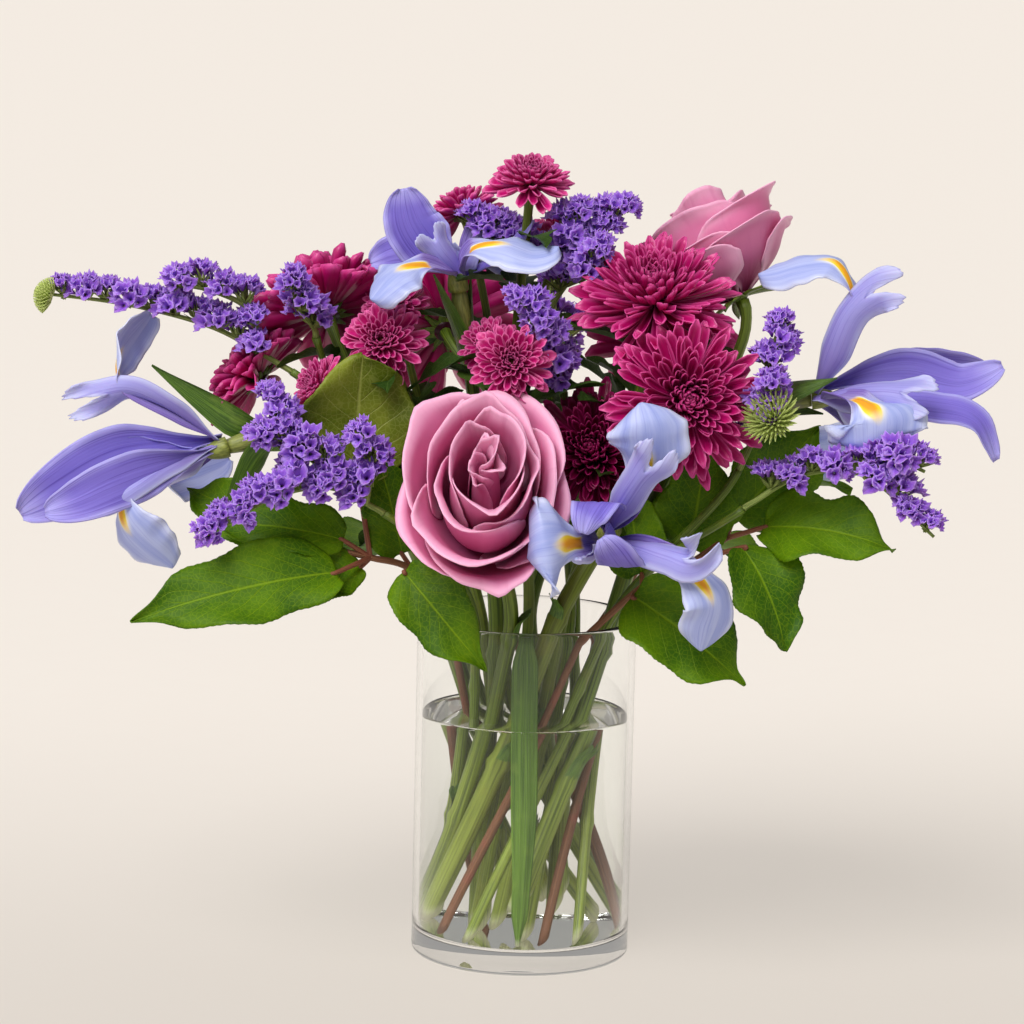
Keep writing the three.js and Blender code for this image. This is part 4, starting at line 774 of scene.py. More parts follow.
# Each stem: ring, angle, radius, joints as shares of its length, how much its foot is cut short, and flowers
stems = {
    "rose_front_stem": ("outer", -103, 3.4, (0.2, 0.55), 3, ["rose_front"]),
    "rose_back_stem": ("inner", 40, 3.2, (0.25, 0.6), 12, ["rose_back"]),
    "mum_stem_front": ("inner", -45, 3.0, (0.12, 0.36), 6, ["mum_top", "mum_front", "mum_dark"]),
    "mum_stem_left": ("outer", 129, 3.0, (0.16, 0.4), 2, ["mum_left", "mum_far_left"]),
    "mum_stem_back": ("inner", 85, 3.0, (0.2, 0.4), 18, ["mum_back_right", "mum_back_left"]),
    "button_stem_left": ("inner", 180, 2.6, (0.14, 0.3), 9, [
        "button_left", "button_side", "button_under_iris"]),
    "button_stem_crown": ("inner", 130, 2.6, (0.2, 0.4), 15, [
        "button_crown", "button_crown_left", "button_crown_back"]),
    "button_stem_centre": ("inner", -90, 2.6, (0.17, 0.33), 4, ["button_centre", "button_inner"]),
    "iris_left_stem": ("outer", 180, 4.0, (0.22, 0.5), 14, ["iris_left"]),
    "iris_top_stem": ("inner", 226, 3.8, (0.2, 0.5), 1, ["iris_top"]),
    "iris_right_stem": ("outer", 0, 4.0, (0.24, 0.5), 20, ["iris_right"]),
    "iris_front_stem": ("outer", -77, 4.2, (0.3, 0.6), 8, ["iris_front"]),
}
blooms = {**roses, **mums, **buttons, **irises}


# spathes are the two papery leaves of an iris: how far each is turned, its size and its extra lean
collar = {
    "radius": 4.2, "bulge": 1.1, "spatheHalf": 8.2, "cup": 3.6, "spathes": ((0, 1.0, 0), (165, 0.8, -8)),
}


# The ribbed green ovary under an iris and the papery leaves that wrap it
def addCollar(mesh, iris):
    ahead = iris["facing"].normalized()
    top = iris["base"] - ahead * stemRun["gap"]
    foot = top - ahead * stemRun["ovary"]
    points = [foot.lerp(top, k / 10) for k in range(11)]
    addTube(mesh, points, lambda t: collar["radius"] + collar["bulge"] * sin(pi * t) - 0.8 * t, 12, 0.3, 2)
    for turnBy, size, lean in collar["spathes"]:
        length = iris["spathe"]["length"] * size
        tilt = iris["spathe"]["lean"] + lean
        twist = radians(iris["spathe"].get("twist", 0))
        path = petalPath((collar["cup"], -14), length + 12, lambda t: tilt * ease(t, 0.1, 0.5))

        def shape(t, s):
            point, across, inward = path(t)
            half = 0.2 + collar["spatheHalf"] * sin(pi * (0.3 + 0.7 * t)) * (1 - 0.2 * t)
            turned = twist * ease(t, 0.15, 0.5)
            flat = across * cos(turned) + inward * sin(turned)
            return point + flat * half * s + inward * (collar["cup"] * (1 - t) + 0.9) * s * s

        addSheet(mesh, 18, 8, shape, 0.2, 3, frameAt(foot, iris["facing"], iris["spathe"]["turn"] + turnBy))


# from and reach are shares of the bend above the rim that carries leaves, turn is in radians from leaf to
# leaf, and clear is how far the leaves keep from the heart of the front rose
mumLeaf = {
    "length": (30.0, 46.0), "half": 10.0, "lobes": 3.5, "perStem": 14, "from": 0.36, "reach": 0.56,
    "turn": 2.4, "clear": 58.0,
}
heart = blooms["rose_front"]["base"] + blooms["rose_front"]["facing"] * 24


def addMumLeaf(mesh, place, heading, outward, material):
    length = uniform(*mumLeaf["length"])
    seed = uniform(0, 6)
    ahead = (heading * 0.5 + outward).normalized()
    side = heading.cross(ahead).normalized()
    face = ahead.cross(side)

    def shape(t, s):
        lobe = 1 - 0.42 * abs(sin(pi * mumLeaf["lobes"] * t)) ** 3
        half = 0.5 + mumLeaf["half"] * sin(pi * min(1.0, 0.06 + t ** 0.8 * 0.94)) * lobe
        droop = -length * 0.3 * t * t
        return place + ahead * length * (t + 0.09 * abs(s) * lobe) + side * half * s + face * (
            droop + 0.25 * half * abs(s) + 1.2 * s * sin(8 * t + seed))

    addSheet(mesh, 24, 8, shape, random.random(), material)


stemFinishes = [stemFinish, pithFinish, ovaryFinish, bladeFinish, mumLeafFinish]
for name, (ring, angle, radius, knots, short, flowers) in stems.items():
    mesh = startMesh()
    heads = [blooms[flower] for flower in flowers]
    points = addStem(mesh, ring, angle, radius, knots, short, heads, uniform(0.0, 0.8))
    for head in heads:
        if "spathe" in head:
            addCollar(mesh, head)
    if name.startswith(("mum", "button")):
        bend = points[stemRun["steps"] + 1:]
        for k in range(mumLeaf["perStem"]):
            place, heading = along(bend, mumLeaf["from"] + mumLeaf["reach"] * k / mumLeaf["perStem"])
            outward = heading.orthogonal().normalized()
            outward.rotate(Matrix.Rotation(mumLeaf["turn"] * k + angle, 3, heading))
            if (place + outward * 25 - heart).length > mumLeaf["clear"]:
                addMumLeaf(mesh, place, heading, outward, 4)
    finishPiece(name + "_smooth", mesh, stemFinishes, [name])

print("stage: irises")

# haftShare is the share of a fall's rows that its haft takes. drop and styleLift are how far a fall turns
# down and a style turns up, in degrees. The halves are of the petals that are turned away, and a standard's
# is a share of its length
irisForm = {
    "length": 92.0, "haft": 5.1, "haftShare": 0.46, "drop": 118.0, "styleLength": 56.0, "styleLift": 34.0,
    "ruffle": 0.08, "frill": 0.03, "fallHalf": 15, "styleHalf": 9, "standardHalf": 0.17,
}


# A petal's middle line: its places and the ways its face looks, evenly spaced before and after its bend
def ribbonPath(line, bend):
    places = smoothLine([point[:3] for point in line], 16)
    looks = smoothLine([point[3:] for point in line], 16)
    lengths = lengthsOf(places)
    haft = irisForm["haftShare"]

    def at(t):
        share = bend * t / haft if t < haft else bend + (1 - bend) * (t - haft) / (1 - haft)
        wanted = min(1.0, share) * lengths[-1]
        k = next((k for k in range(1, len(places)) if lengths[k] >= wanted - 1e-6), len(places) - 1)
        part = (wanted - lengths[k - 1]) / (lengths[k] - lengths[k - 1])
        before, after = max(k - 3, 0), min(k + 2, len(places) - 1)
        ahead = (places[after] - places[before]).normalized()
        look = looks[k - 1].lerp(looks[k], part)
        look = (look - ahead * look.dot(ahead)).normalized()
        return places[k - 1].lerp(places[k], part), look.cross(ahead), look

    return at


# How wide a fall is and how it lifts: a channelled haft, then a ruffled blade whose edges turn down
def fallShape(at, half, seed):
    def shape(t, s):
        point, across, inward = at(t)
        tip = sqrt(max(0.0, 1 - (max(0.0, t - 0.76) / 0.243) ** 2))
        width = (1.4 + irisForm["haft"] * ease(t, 0, 0.3) + (half - 6.5) * ease(t, 0.45, 0.7)) * tip
        edge = abs(s) ** 2.5 * ease(t, 0.48, 0.72)
        lift = (3.2 * ease(t, 0, 0.2) * (1 - ease(t, 0.4, 0.56)) - 0.3 * half * ease(t, 0.42, 0.6)) * s * s
        lift += irisForm["ruffle"] * half * edge * sin(15 * t + 2.2 * s + seed)
        lift += irisForm["frill"] * half * edge * sin(52 * t + seed * 3 + 4 * s)
        lift += 0.7 * exp(-(s / 0.14) ** 2) * ease(t, 0.3, 0.45) * ease(t, 0.75, 0.6)
        width *= 1 + 0.03 * ease(t, 0.5, 0.7) * sin(40 * t + seed + s)
        return point + across * width * s + inward * lift

    return shape


# A style arm: a roof over the haft that ends in two frilled crests
def styleShape(at, half, seed):
    def shape(t, s):
        notch = 0.22 * ease(t, 0.68, 1.0) * (1 - min(1.0, abs(s) / 0.45))
        notch += 0.09 * ease(t, 0.8, 1.0) * abs(s) ** 4
        notch += 0.012 * ease(t, 0.85, 1.0) * sin(34 * s + seed)
        point, across, inward = at(max(0.0, t - notch))
        width = 1.4 + (half * 0.75 - 1.4) * ease(t, 0, 0.35) + half * 0.3 * ease(t, 0.6, 0.9)
        lift = -0.5 * half * ease(t, 0, 0.3) * (1 - ease(t, 0.7, 1)) * s * s
        frill = 0.13 * half * sin(6 * s + seed) + 0.05 * half * sin(29 * s + seed)
        lift += ease(t, 0.7, 1.0) * frill
        return point + across * width * s + inward * lift

    return shape


def standardShape(at, half, seed):
    def shape(t, s):
        point, across, inward = at(t)
        tip = sqrt(max(0.0, 1 - (max(0.0, t - 0.55) / 0.455) ** 2))
        width = (1.6 + (half - 1.6) * ease(t, 0.04, 0.5)) * (0.25 + 0.75 * tip) * tip ** 0.3
        lift = 0.22 * half * s * s * (1 - 0.6 * t)
        lift += 0.1 * half * ease(t, 0.2, 0.7) * abs(s) ** 1.5 * sin(9 * t + 2.6 * s + seed)
        lift += 0.03 * half * abs(s) ** 4 * sin(44 * t + seed) + 0.5 * exp(-(s / 0.1) ** 2)
        return point + across * width * s + inward * lift

    return shape


petalKinds = {
    "fall": {"shape": fallShape, "rows": 60, "columns": 20, "finish": 0},
    "standard": {"shape": standardShape, "rows": 40, "columns": 14, "finish": 1},
    "style": {"shape": styleShape, "rows": 40, "columns": 22, "finish": 2},
}


def addIrisPetal(mesh, kind, at, half, seed, matrix=None):
    form = petalKinds[kind]
    shape = form["shape"](at, half, seed)
    addSheet(mesh, form["rows"], form["columns"], shape, uniform(0, 0.35), form["finish"], matrix)


for number, (name, iris) in enumerate(irises.items()):
    mesh = startMesh()
    for k, (kind, half, bend, line) in enumerate(iris["petals"]):
        addIrisPetal(mesh, kind, ribbonPath(line, bend), half, number + 1.9 * k)
    for k, fall in enumerate(iris["falls"]):
        place = placeOn(iris, fall["turn"])
        lean = fall["open"]
        path = petalPath((3, 2), irisForm["length"], lambda t: lean + irisForm["drop"] * ease(t, 0.42, 0.8))
        addIrisPetal(mesh, "fall", path, irisForm["fallHalf"], number, place)
        length = iris.get("styleLength", irisForm["styleLength"])
        path = petalPath((1, 8), length, lambda t: lean - 9 - irisForm["styleLift"] * ease(t, 0.66, 0.95))
        addIrisPetal(mesh, "style", path, irisForm["styleHalf"], number, place)
    for k, standard in enumerate(iris["standards"]):
        place = placeOn(iris, standard["turn"])
        lean, length = standard["lean"], iris["standardLength"]
        path = petalPath((2, 4), length, lambda t: lean + 10 - 26 * ease(t, 0.2, 0.9))
        addIrisPetal(mesh, "standard", path, irisForm["standardHalf"] * length, 2 * number + k, place)
    ahead = iris["facing"].normalized()
    tube = [iris["base"] + ahead * 11 * k / 8 for k in range(9)]
    addTube(mesh, tube, lambda t: 4.4 * sqrt(max(0.02, 1 - t * t)) + 0.3, 14, 0.2, 3)
    finishes = [fallFinish, standardFinish, styleFinish, ovaryFinish]
    finishPiece(name + "_flower", mesh, finishes, [name], 0.5)

print("stage: roses")


# The green sepals under a flower
def addSepals(mesh, bloom, count, rows, material, path, halfAt, cup):
    def sepal(t, s):
        point, across, inward = path(t)
        return point + across * halfAt(t) * s + inward * cup * s * s

    for k in range(count):
        addSheet(mesh, rows, 4 if rows > 4 else 2, sepal, 0.2, material, placeOn(bloom, 360 / count * k))


# Rings from the bud out. Their sizes are shares of the rose's radius, and span and curl are in degrees.
# rollFrom is where a petal starts to roll over, and shift turns each ring from the last. narrow and tall are
# how much a rose is drawn in sideways and up
roseForm = {
    "rows": 28, "columns": 22, "wave": 0.05, "rollFrom": 0.84, "shift": 20, "seed": 5, "narrow": 0.84,
    "tall": 1.16, "sepals": 5, "sepalHalf": 3.2,
    "rings": [
        {"count": 2, "span": 165, "belly": 0.08, "top": 0.05, "height": 1.44, "curl": 10},
        {"count": 3, "span": 105, "belly": 0.18, "top": 0.15, "height": 1.46, "curl": 70},
        {"count": 3, "span": 100, "belly": 0.42, "top": 0.4, "height": 1.42, "curl": 45},
        {"count": 3, "span": 94, "belly": 0.6, "top": 0.62, "height": 1.26, "curl": 70},
        {"count": 4, "span": 76, "belly": 0.7, "top": 0.86, "height": 1.04, "curl": 95},
        {"count": 5, "span": 60, "belly": 0.72, "top": 0.98, "height": 0.74, "curl": 110},
    ],
}


# A rose petal stands up from the hip, bellies out, and rolls its rim over, most at its sides
def rosePetalShape(radius, ring, seed, size):
    height, belly, top = ring["height"] * radius * size, ring["belly"] * radius, ring["top"] * radius
    span, rollFrom = radians(ring["span"]), roseForm["rollFrom"]
    lean = uniform(-0.06, 0.07)
    pinchAt = uniform(-0.6, 0.6)

    def profile(t):
        swell = 0.09 * radius + (belly - 0.09 * radius) * sin(pi / 2 * min(1.0, t * 1.8))
        return swell + (top - belly) * ease(t, 0.4, 1.0) + lean * height * t * t, height * t

    def shape(t, s):
        low = t * (1 - 0.26 * abs(s) ** 3.2 - 0.04 * exp(-((abs(s) - 0.45) / 0.2) ** 2))
        r, z = profile(min(low, rollFrom))
        if low > rollFrom:
            before, after = profile(rollFrom - 0.01), profile(rollFrom)
            tilt = atan2(after[0] - before[0], after[1] - before[1])
            rest = (low - rollFrom) * max(height, radius * 0.8) * 1.1
            side = 0.62 + 0.5 * abs(s) ** 1.5 + 0.2 * cos(2.5 * s + seed)
            bend = radians(ring["curl"]) * side * (low - rollFrom) / (1 - rollFrom)
            r += rest * sin(tilt + bend * 0.6)
            z += rest * cos(tilt + bend * 0.6)
        wave = roseForm["wave"] * (sin(3.1 * s + seed) + 0.3 * sin(7 * s + 2 * seed))
        pinch = 0.07 * exp(-((s - pinchAt) / 0.13) ** 2) * ease(t, 0.76, 1.0)
        r = r * (1 + ease(t, 0.4, 1.0) * wave) + radius * (0.045 * s + pinch)
        turn = span * s * (0.3 + 0.7 * ease(t, 0.0, 0.5)) * (1 - 0.1 * ease(t, 0.8, 1.0))
        return Vector((r * cos(turn), r * sin(turn), z + 2))

    return shape


squeeze = Matrix.Diagonal((roseForm["narrow"], roseForm["tall"], 1, 1))
random.seed(roseForm["seed"])
for name, rose in roses.items():
    mesh = startMesh()
    for n, ring in enumerate(roseForm["rings"]):
        for k in range(ring["count"]):
            turn = 360 * (k + 0.47 * n) / ring["count"] + uniform(-7, 7) + roseForm["shift"] * n
            size = uniform(0.92, 1.06) + (0.1 * cos(radians(2 * turn - 90)) if n > 3 else 0)
            shape = rosePetalShape(rose["radius"] * uniform(0.94, 1.05), ring, 1.9 * k + 2.3 * n, size)
            # Inner rings get more tone and so darker petals: painted shade deep in the rose
            tone = max(0.0, 0.8 - 0.2 * n)
            placed = placeOn(rose) @ squeeze @ Matrix.Rotation(radians(turn), 4, "Z")
            addSheet(mesh, roseForm["rows"], roseForm["columns"], shape, tone, 0, placed)
    ahead = rose["facing"].normalized()
    hip = [rose["base"] + ahead * 0.2 * k for k in range(11)]
    addTube(mesh, hip, lambda t: rose["radius"] * (0.08 + 0.08 * t), 12, 0.3, 1)
    path = petalPath((rose["radius"] * 0.1, 1), rose["radius"] * 0.62, lambda t: 95 + 18 * t)
    half = roseForm["sepalHalf"]
    addSepals(mesh, rose, roseForm["sepals"], 10, 1, path, lambda t: half * sin(pi * (0.25 + 0.74 * t)), 1.0)
    finishPiece(name + "_flower", mesh, [roseFinish, stemFinish], [name], 0.55)

print("stage: chrysanthemums")

# Petals in a spiral. Each pair is for the outermost and the innermost petal, with angles from the flower's
# axis and sizes as shares of its radius. core is the radius and height of the middle
mumForm = {
    "count": 225, "core": (0.14, 0.28), "angle": (104, 4), "curl": (-20, -44), "length": (1.02, 0.21),
    "half": (0.08, 0.025), "root": (0.1, 0.03), "rise": (0.06, 0.3), "scatter": 9.0,
}
# Broader petals, on heads that are seen from the side or behind
awayForm = {
    **mumForm, "count": 170, "half": (0.16, 0.035), "angle": (98, 4), "curl": (2, -44), "length": (1.1, 0.25),
}
buttonForm = {
    "count": 120, "core": (0.24, 0.36), "angle": (104, 12), "curl": (-14, -34), "length": (0.98, 0.22),
    "half": (0.118, 0.03), "root": (0.12, 0.08), "rise": (0.1, 0.36), "scatter": 7.0,
}


def headPetalShape(form, radius, share):
    def sized(key):
        return between(*form[key], share)

    scatter = form["scatter"] * (1 - 0.5 * share)
    lean = sized("angle") + uniform(-scatter, scatter)
    curl = sized("curl") + uniform(-12, 12)
    length = sized("length") * radius * uniform(0.86, 1.06)
    sway = uniform(-9, 9)
    root = (sized("root") * radius, sized("rise") * radius)
    path = petalPath(root, length, lambda t: lean + curl * ease(t, 0.15, 1.0), lambda t: sway * t, 16)
    half = sized("half") * radius * uniform(0.85, 1.12)
    twist = uniform(-0.5, 0.5)

    def shape(t, s):
        point, across, inward = path(t)
        tip = sqrt(max(0.004, 1 - (max(0.0, t - 0.84) / 0.165) ** 2))
        width = half * (0.4 + 0.6 * ease(t, 0, 0.75)) * tip
        channel = 0.8 * s * s - 0.2 + 0.2 * sin(pi * t) * cos(2 * pi * s)
        return point + across * width * s + inward * width * (channel + twist * t * s)

    return shape


def addHead(mesh, bloom, form):
    radius = bloom["radius"]
    for k in range(form["count"]):
        share = (k + 0.5) / form["count"]
        turn = goldenAngle * k + uniform(-9, 9)
        shape = headPetalShape(form, radius, share)
        # Petals nearer the middle get more tone and so a darker colour: painted shade deep in the head, with
        # a random spread
        tone = min(1.0, max(0.0, 0.04 + 0.9 * share ** 1.6 + uniform(-0.12, 0.12)))
        addSheet(mesh, 9, 4, shape, tone, 0, placeOn(bloom, turn))
    ahead = bloom["facing"].normalized()
    coreRadius, coreHeight = form["core"]
    core = [bloom["base"] + ahead * radius * coreHeight * k / 6 for k in range(7)]
    addTube(mesh, core, lambda t: radius * coreRadius * sqrt(max(0.03, 1 - t * t)), 12, 0.9, 1)
    path = petalPath((radius * 0.06, 0.4), radius * 0.3, lambda t: 86 - 6 * t)
    addSepals(mesh, bloom, 10, 4, 2, path, lambda t: radius * 0.075 * (1 - 0.8 * t), 0.5)


def makeHead(name, bloom, form, petals, core):
    mesh = startMesh()
    addHead(mesh, bloom, form)
    finishPiece(name + "_flower", mesh, [petals, core, stemFinish], [name], 0.35)


for name, mum in mums.items():
    form = awayForm if "left" in name or "back" in name else mumForm
    # mum_dark and the middles of all heads take the darker copy of the petal, which is painted shade
    makeHead(name, mum, form, mumShadedFinish if name == "mum_dark" else mumFinish, mumShadedFinish)
for name, button in buttons.items():
    makeHead(name, button, buttonForm, buttonFinish, heartFinish)

print("stage: leaves")

leafForm = {
    "rows": 64, "columns": 16, "teeth": 26, "toothDepth": 0.016, "wave": 2.8, "branch": 2.1, "stalk": 1.3,
}


def leafShape(start, end, face, width, arch, isOlive, seed):
    middle = start.lerp(end, 0.5) + face * arch * 2

    def shape(t, s):
        rib = start * (1 - t) ** 2 + middle * 2 * t * (1 - t) + end * t * t
        ahead = ((middle - start) * (1 - t) + (end - middle) * t).normalized()
        side = face.cross(ahead).normalized()
        normal = ahead.cross(side)
        if isOlive:
            oval = sin(pi * (t * 0.97 + 0.03) ** 0.86) ** 0.55
        else:
            oval = sin(pi * (t * 0.97 + 0.03) ** 0.72) ** 0.72 * (1 - 0.5 * ease(t, 0.76, 0.94))
        tooth = 1 + leafForm["toothDepth"] * (2 * ((t * leafForm["teeth"]) % 1) - 1) * abs(s) ** 4
        lobes = 1 + 0.09 * sin(11 * t + seed + 2 * (s > 0)) + 0.05 * sin(19 * t + 2 * seed)
        half = max(0.15, width / 2 * oval * tooth * lobes)
        lift = 0.2 * half * abs(s) + leafForm["wave"] * abs(s) ** 2 * sin(11 * t + seed + 2 * s)
        lift -= 0.8 * abs(sin(pi * 4 * (t - 0.3 * abs(s)))) * (1 - abs(s)) * abs(s) ** 0.3
        return rib + side * half * s + normal * lift

    return shape


# A leaf: the point of the path above the rim that its stalk leaves, its root and tip, the way its face looks,
# its width and how far it arches. olive is the number of a leaf of the other kind
salals = {
    "salal_left": {
        "angle": 206, "path": [(-52, -28, 183), (-72, -42, 192), (-96, -40, 196)],
        "olive": 2, "leaves": [
            (1, (-86, -60, 188), (-177, -76, 166), (0.1, -0.8, 0.6), 40, 7),
            (1, (-84, -45, 200), (-146, -43, 205), (0, -0.7, 0.7), 32, 5),
            (1, (-78, -38, 226), (-77, -40, 284), (0.25, -0.95, 0.1), 56, -6),
            (0, (-56, -60, 189), (-18, -74, 147), (-0.3, -0.8, 0.5), 32, 6),
            (2, (-118, -26, 199), (-158, -10, 217), (0, -0.85, 0.5), 30, 4),
            (0, (-58, -30, 192), (-70, -36, 238), (0.2, -0.9, 0.3), 30, 3),
            (1, (-76, -44, 188), (-112, -54, 172), (0, -0.8, 0.6), 26, 4),
        ],
    },
    "salal_right": {
        "angle": -51, "path": [(52, -34, 180), (74, -34, 192), (90, -26, 202)],
        "leaves": [
            (0, (47, -54, 179), (98, -68, 142), (0.1, -0.8, 0.6), 46, 4),
            (1, (96, -50, 202), (116, -62, 157), (0.4, -0.85, 0.3), 36, 6),
            (2, (106, -36, 209), (164, -56, 203), (0, -0.75, 0.65), 38, 7),
            (2, (94, -14, 210), (132, -6, 252), (0.3, -0.9, 0.2), 40, 4),
            (1, (74, -22, 196), (80, -26, 244), (-0.1, -0.95, 0.2), 38, 3),
            (0, (52, -22, 184), (44, -30, 226), (-0.1, -0.95, 0.2), 30, 3),
        ],
    },
    "salal_back": {
        "angle": 103, "path": [(-18, 56, 184), (-34, 66, 202), (-46, 68, 222)],
        "leaves": [
            (0, (-44, 66, 182), (-104, 104, 160), (-0.3, 0.6, 0.75), 44, 8),
            (1, (-66, 62, 212), (-136, 66, 226), (-0.1, 0.6, 0.8), 42, 7),
            (1, (-20, 88, 206), (0, 140, 196), (0, 0.5, 0.86), 44, 8),
        ],
    },
    "salal_back_right": {
        "angle": 26, "path": [(54, 32, 180), (68, 46, 198), (76, 56, 214)],
        "leaves": [
            (0, (68, 52, 184), (118, 92, 164), (0.4, 0.5, 0.75), 44, 8),
            (1, (86, 44, 206), (152, 36, 216), (0.1, 0.3, 0.95), 42, 7),
            (2, (74, 74, 218), (66, 134, 226), (0, 0.2, 1), 44, 7),
        ],
    },
}
for name, salal in salals.items():
    start, rim, direction = lineInVase("outer", salal["angle"])
    leaves = startMesh()
    wood = startMesh()
    points = [start.lerp(rim, k / 24) for k in range(24)] + smoothLine([rim] + salal["path"], 8)
    addTube(wood, points, lambda t: leafForm["branch"] * (1 - 0.35 * t), 10, 0.3, 0, 1.5, 1)
    for k, (origin, root, tip, face, width, arch) in enumerate(salal["leaves"]):
        root, tip, isOlive = Vector(root), Vector(tip), salal.get("olive") == k
        stalk = smoothLine([salal["path"][origin], root, root.lerp(tip, 0.03)], 8)
        addTube(wood, stalk, lambda t: leafForm["stalk"] - 0.4 * t, 8, 0.9)
        shape = leafShape(root, tip, Vector(face).normalized(), width, arch, isOlive, 2.3 * k)
        addSheet(leaves, leafForm["rows"], leafForm["columns"], shape, 0.3, int(isOlive))
    finishPiece(name + "_leaves", leaves, [leafFinish, oliveFinish], [name], 0.4)
    finishPiece(name + "_wood", wood, [woodFinish, pithFinish])

# The long leaf that stands in the water behind the front glass
strap = {"foot": (-1, -44.6, 13), "top": (0.5, -44.6, 157), "width": 11.5, "ribs": 3}
mesh = startMesh()


def strapShape(t, s):
    centre = Vector(strap["foot"]).lerp(Vector(strap["top"]), t)
    taper = (0.12 + 0.5 * ease(t, 0.0, 0.12) + 0.38 * ease(t, 0.1, 0.5)) * (1 - 0.5 * ease(t, 0.9, 1.0))
    half = strap["width"] / 2 * taper
    fold = 1.6 * s * s + 0.15 * cos(pi * strap["ribs"] * s)
    return centre + Vector((half * s + 0.9 * sin(5 * t), fold + 0.5 * sin(4 * t) * s, 0))


addSheet(mesh, 40, 28, strapShape, 0.1)
finishPiece("strapLeaf", mesh, [bladeFinish], ["iris_strap_leaf"], 0.8)

print("stage: statice")

# cluster, hairs and brush are how many cups, hairs and green bracts there are in one
floretForm = {"length": 7.0, "rim": 3.7, "lobes": 5, "cluster": 12, "spread": 9.5, "hairs": 7, "brush": 170}


def floretShape(t, s):
    turn = pi * s
    lobes = cos(floretForm["lobes"] * turn)
    radius = floretForm["rim"] * (0.12 + 0.88 * t ** 1.5)
    radius *= 1 + 0.08 * t * lobes + 0.16 * t * cos(3 * turn + 1)
    z = floretForm["length"] * t + 0.9 * t * t * cos(8 * turn)
    z += 0.7 * t ** 3 * cos(3 * turn) - 1.6 * t ** 4
    return Vector((radius * cos(turn), radius * sin(turn), z))


floretMesh = startMesh()
addSheet(floretMesh, 3, 16, floretShape, 0.3)
bmesh.ops.remove_doubles(floretMesh, verts=floretMesh.verts, dist=0.01)
floretTemplate = meshData("floretTemplate", floretMesh)


def addFloret(mesh, at, size, tone):
    before = len(mesh.verts)
    mesh.from_mesh(floretTemplate)
    mesh.verts.ensure_lookup_table()
    verts = mesh.verts[before:]
    layer = mesh.verts.layers.float["tone"]
    for vert in verts:
        vert[layer] = tone
    uneven = Matrix.Diagonal((size * uniform(0.75, 1.2), size * uniform(0.75, 1.1), size, 1))
    bmesh.ops.transform(mesh, matrix=at @ uneven, verts=verts)


# Sprays: the first path goes on from the base, and the others start on the first. up is the side the cups
# stand on
statices = {
    "statice_left_stem": {"ring": "outer", "angle": 155, "sprays": {
        "statice_left_long": {
            "base": (-111, -8, 272), "facing": (-0.86, -0.05, 0.5), "up": (0, -0.35, 1), "florets": 17,
            "paths": [
                [(-146, -8, 291), (-185, -10, 301), (-219, -20, 306)],
                [(-125, -8, 281), (-131, -8, 300), (-150, -10, 309), (-167, -14, 311)]],
            "brush": {"at": (-219, -20, 305), "facing": (-0.9, -0.1, 0.3), "length": 9}},
        "statice_left_small": {
            "base": (-100, -6, 288), "facing": (-0.2, -0.4, 0.9), "up": (0, -0.3, 1), "florets": 6,
            "paths": [[(-107, -18, 302), (-110, -22, 314)]]},
    }},
    "statice_low_stem": {"ring": "outer", "angle": 232, "sprays": {
        "statice_low": {
            "base": (-66, -52, 214), "facing": (-0.8, -0.2, 0.5), "up": (-0.1, -0.7, 0.8), "florets": 25,
            "paths": [
                [(-90, -58, 226), (-115, -66, 222), (-146, -72, 204)],
                [(-80, -56, 221), (-92, -57, 236), (-108, -58, 246), (-124, -56, 248)],
                [(-74, -54, 218), (-72, -56, 236), (-76, -56, 252)],
                [(-96, -54, 226), (-112, -50, 244), (-116, -48, 268)]]},
    }},
    "statice_crown_stem": {"ring": "inner", "angle": 0, "sprays": {
        "statice_crown": {
            "base": (8, 4, 302), "facing": (0.3, 0, 0.95), "up": (0, -0.5, 0.9), "florets": 24,
            "paths": [
                [(20, 3, 322), (32, 4, 340), (42, 6, 350)],
                [(15, 3, 314), (24, -8, 320), (30, -14, 333)],
                [(4, 14, 320), (-12, 20, 333), (-32, 18, 339)],
                [(11, 4, 320), (15, 3, 336), (21, 2, 348)]]},
        "statice_centre": {
            "base": (14, -14, 266), "facing": (-0.15, -0.5, 0.85), "up": (0, -0.9, 0.5), "florets": 8,
            "paths": [[(8, -28, 288), (2, -34, 302), (-10, -36, 312)]]},
    }},
    "statice_right_stem": {"ring": "outer", "angle": -26, "sprays": {
        "statice_right_high": {
            "base": (94, -40, 236), "facing": (0.4, -0.1, 0.9), "up": (0.1, -0.6, 0.8), "florets": 11,
            "paths": [
                [(104, -41, 262), (108, -38, 288), (112, -36, 304)],
                [(101, -41, 254), (106, -56, 268), (108, -64, 279)]],
            "brush": {"at": (107, -60, 262), "facing": (-0.35, -0.75, 0.5), "length": 15}},
        "statice_right_low": {
            "base": (96, -52, 220), "facing": (0.8, -0.1, 0.6), "up": (0, -0.55, 0.85), "florets": 13,
            "paths": [
                [(122, -58, 237), (150, -62, 237), (180, -70, 212)],
                [(148, -62, 237), (162, -64, 245), (175, -68, 241)]]},
    }},
    "statice_back_stem": {"ring": "outer", "angle": 52, "sprays": {
        "statice_back": {
            "base": (12, 78, 262), "facing": (0, 0.5, 0.86), "up": (0, 0.8, 0.6), "florets": 10,
            "paths": [
                [(10, 90, 284), (6, 96, 306)],
                [(11, 86, 276), (24, 102, 284), (34, 110, 292)]]},
    }},
}
staticeStem = {"radius": 2.3, "branch": 1.5, "knots": (0.2, 0.45), "reach": 26.0}


def bractShape(t, s):
    return Vector((1.2 * s * (1 - t) ** 0.7, 2.8 * t - 0.2, 9.0 * t - 7.0))


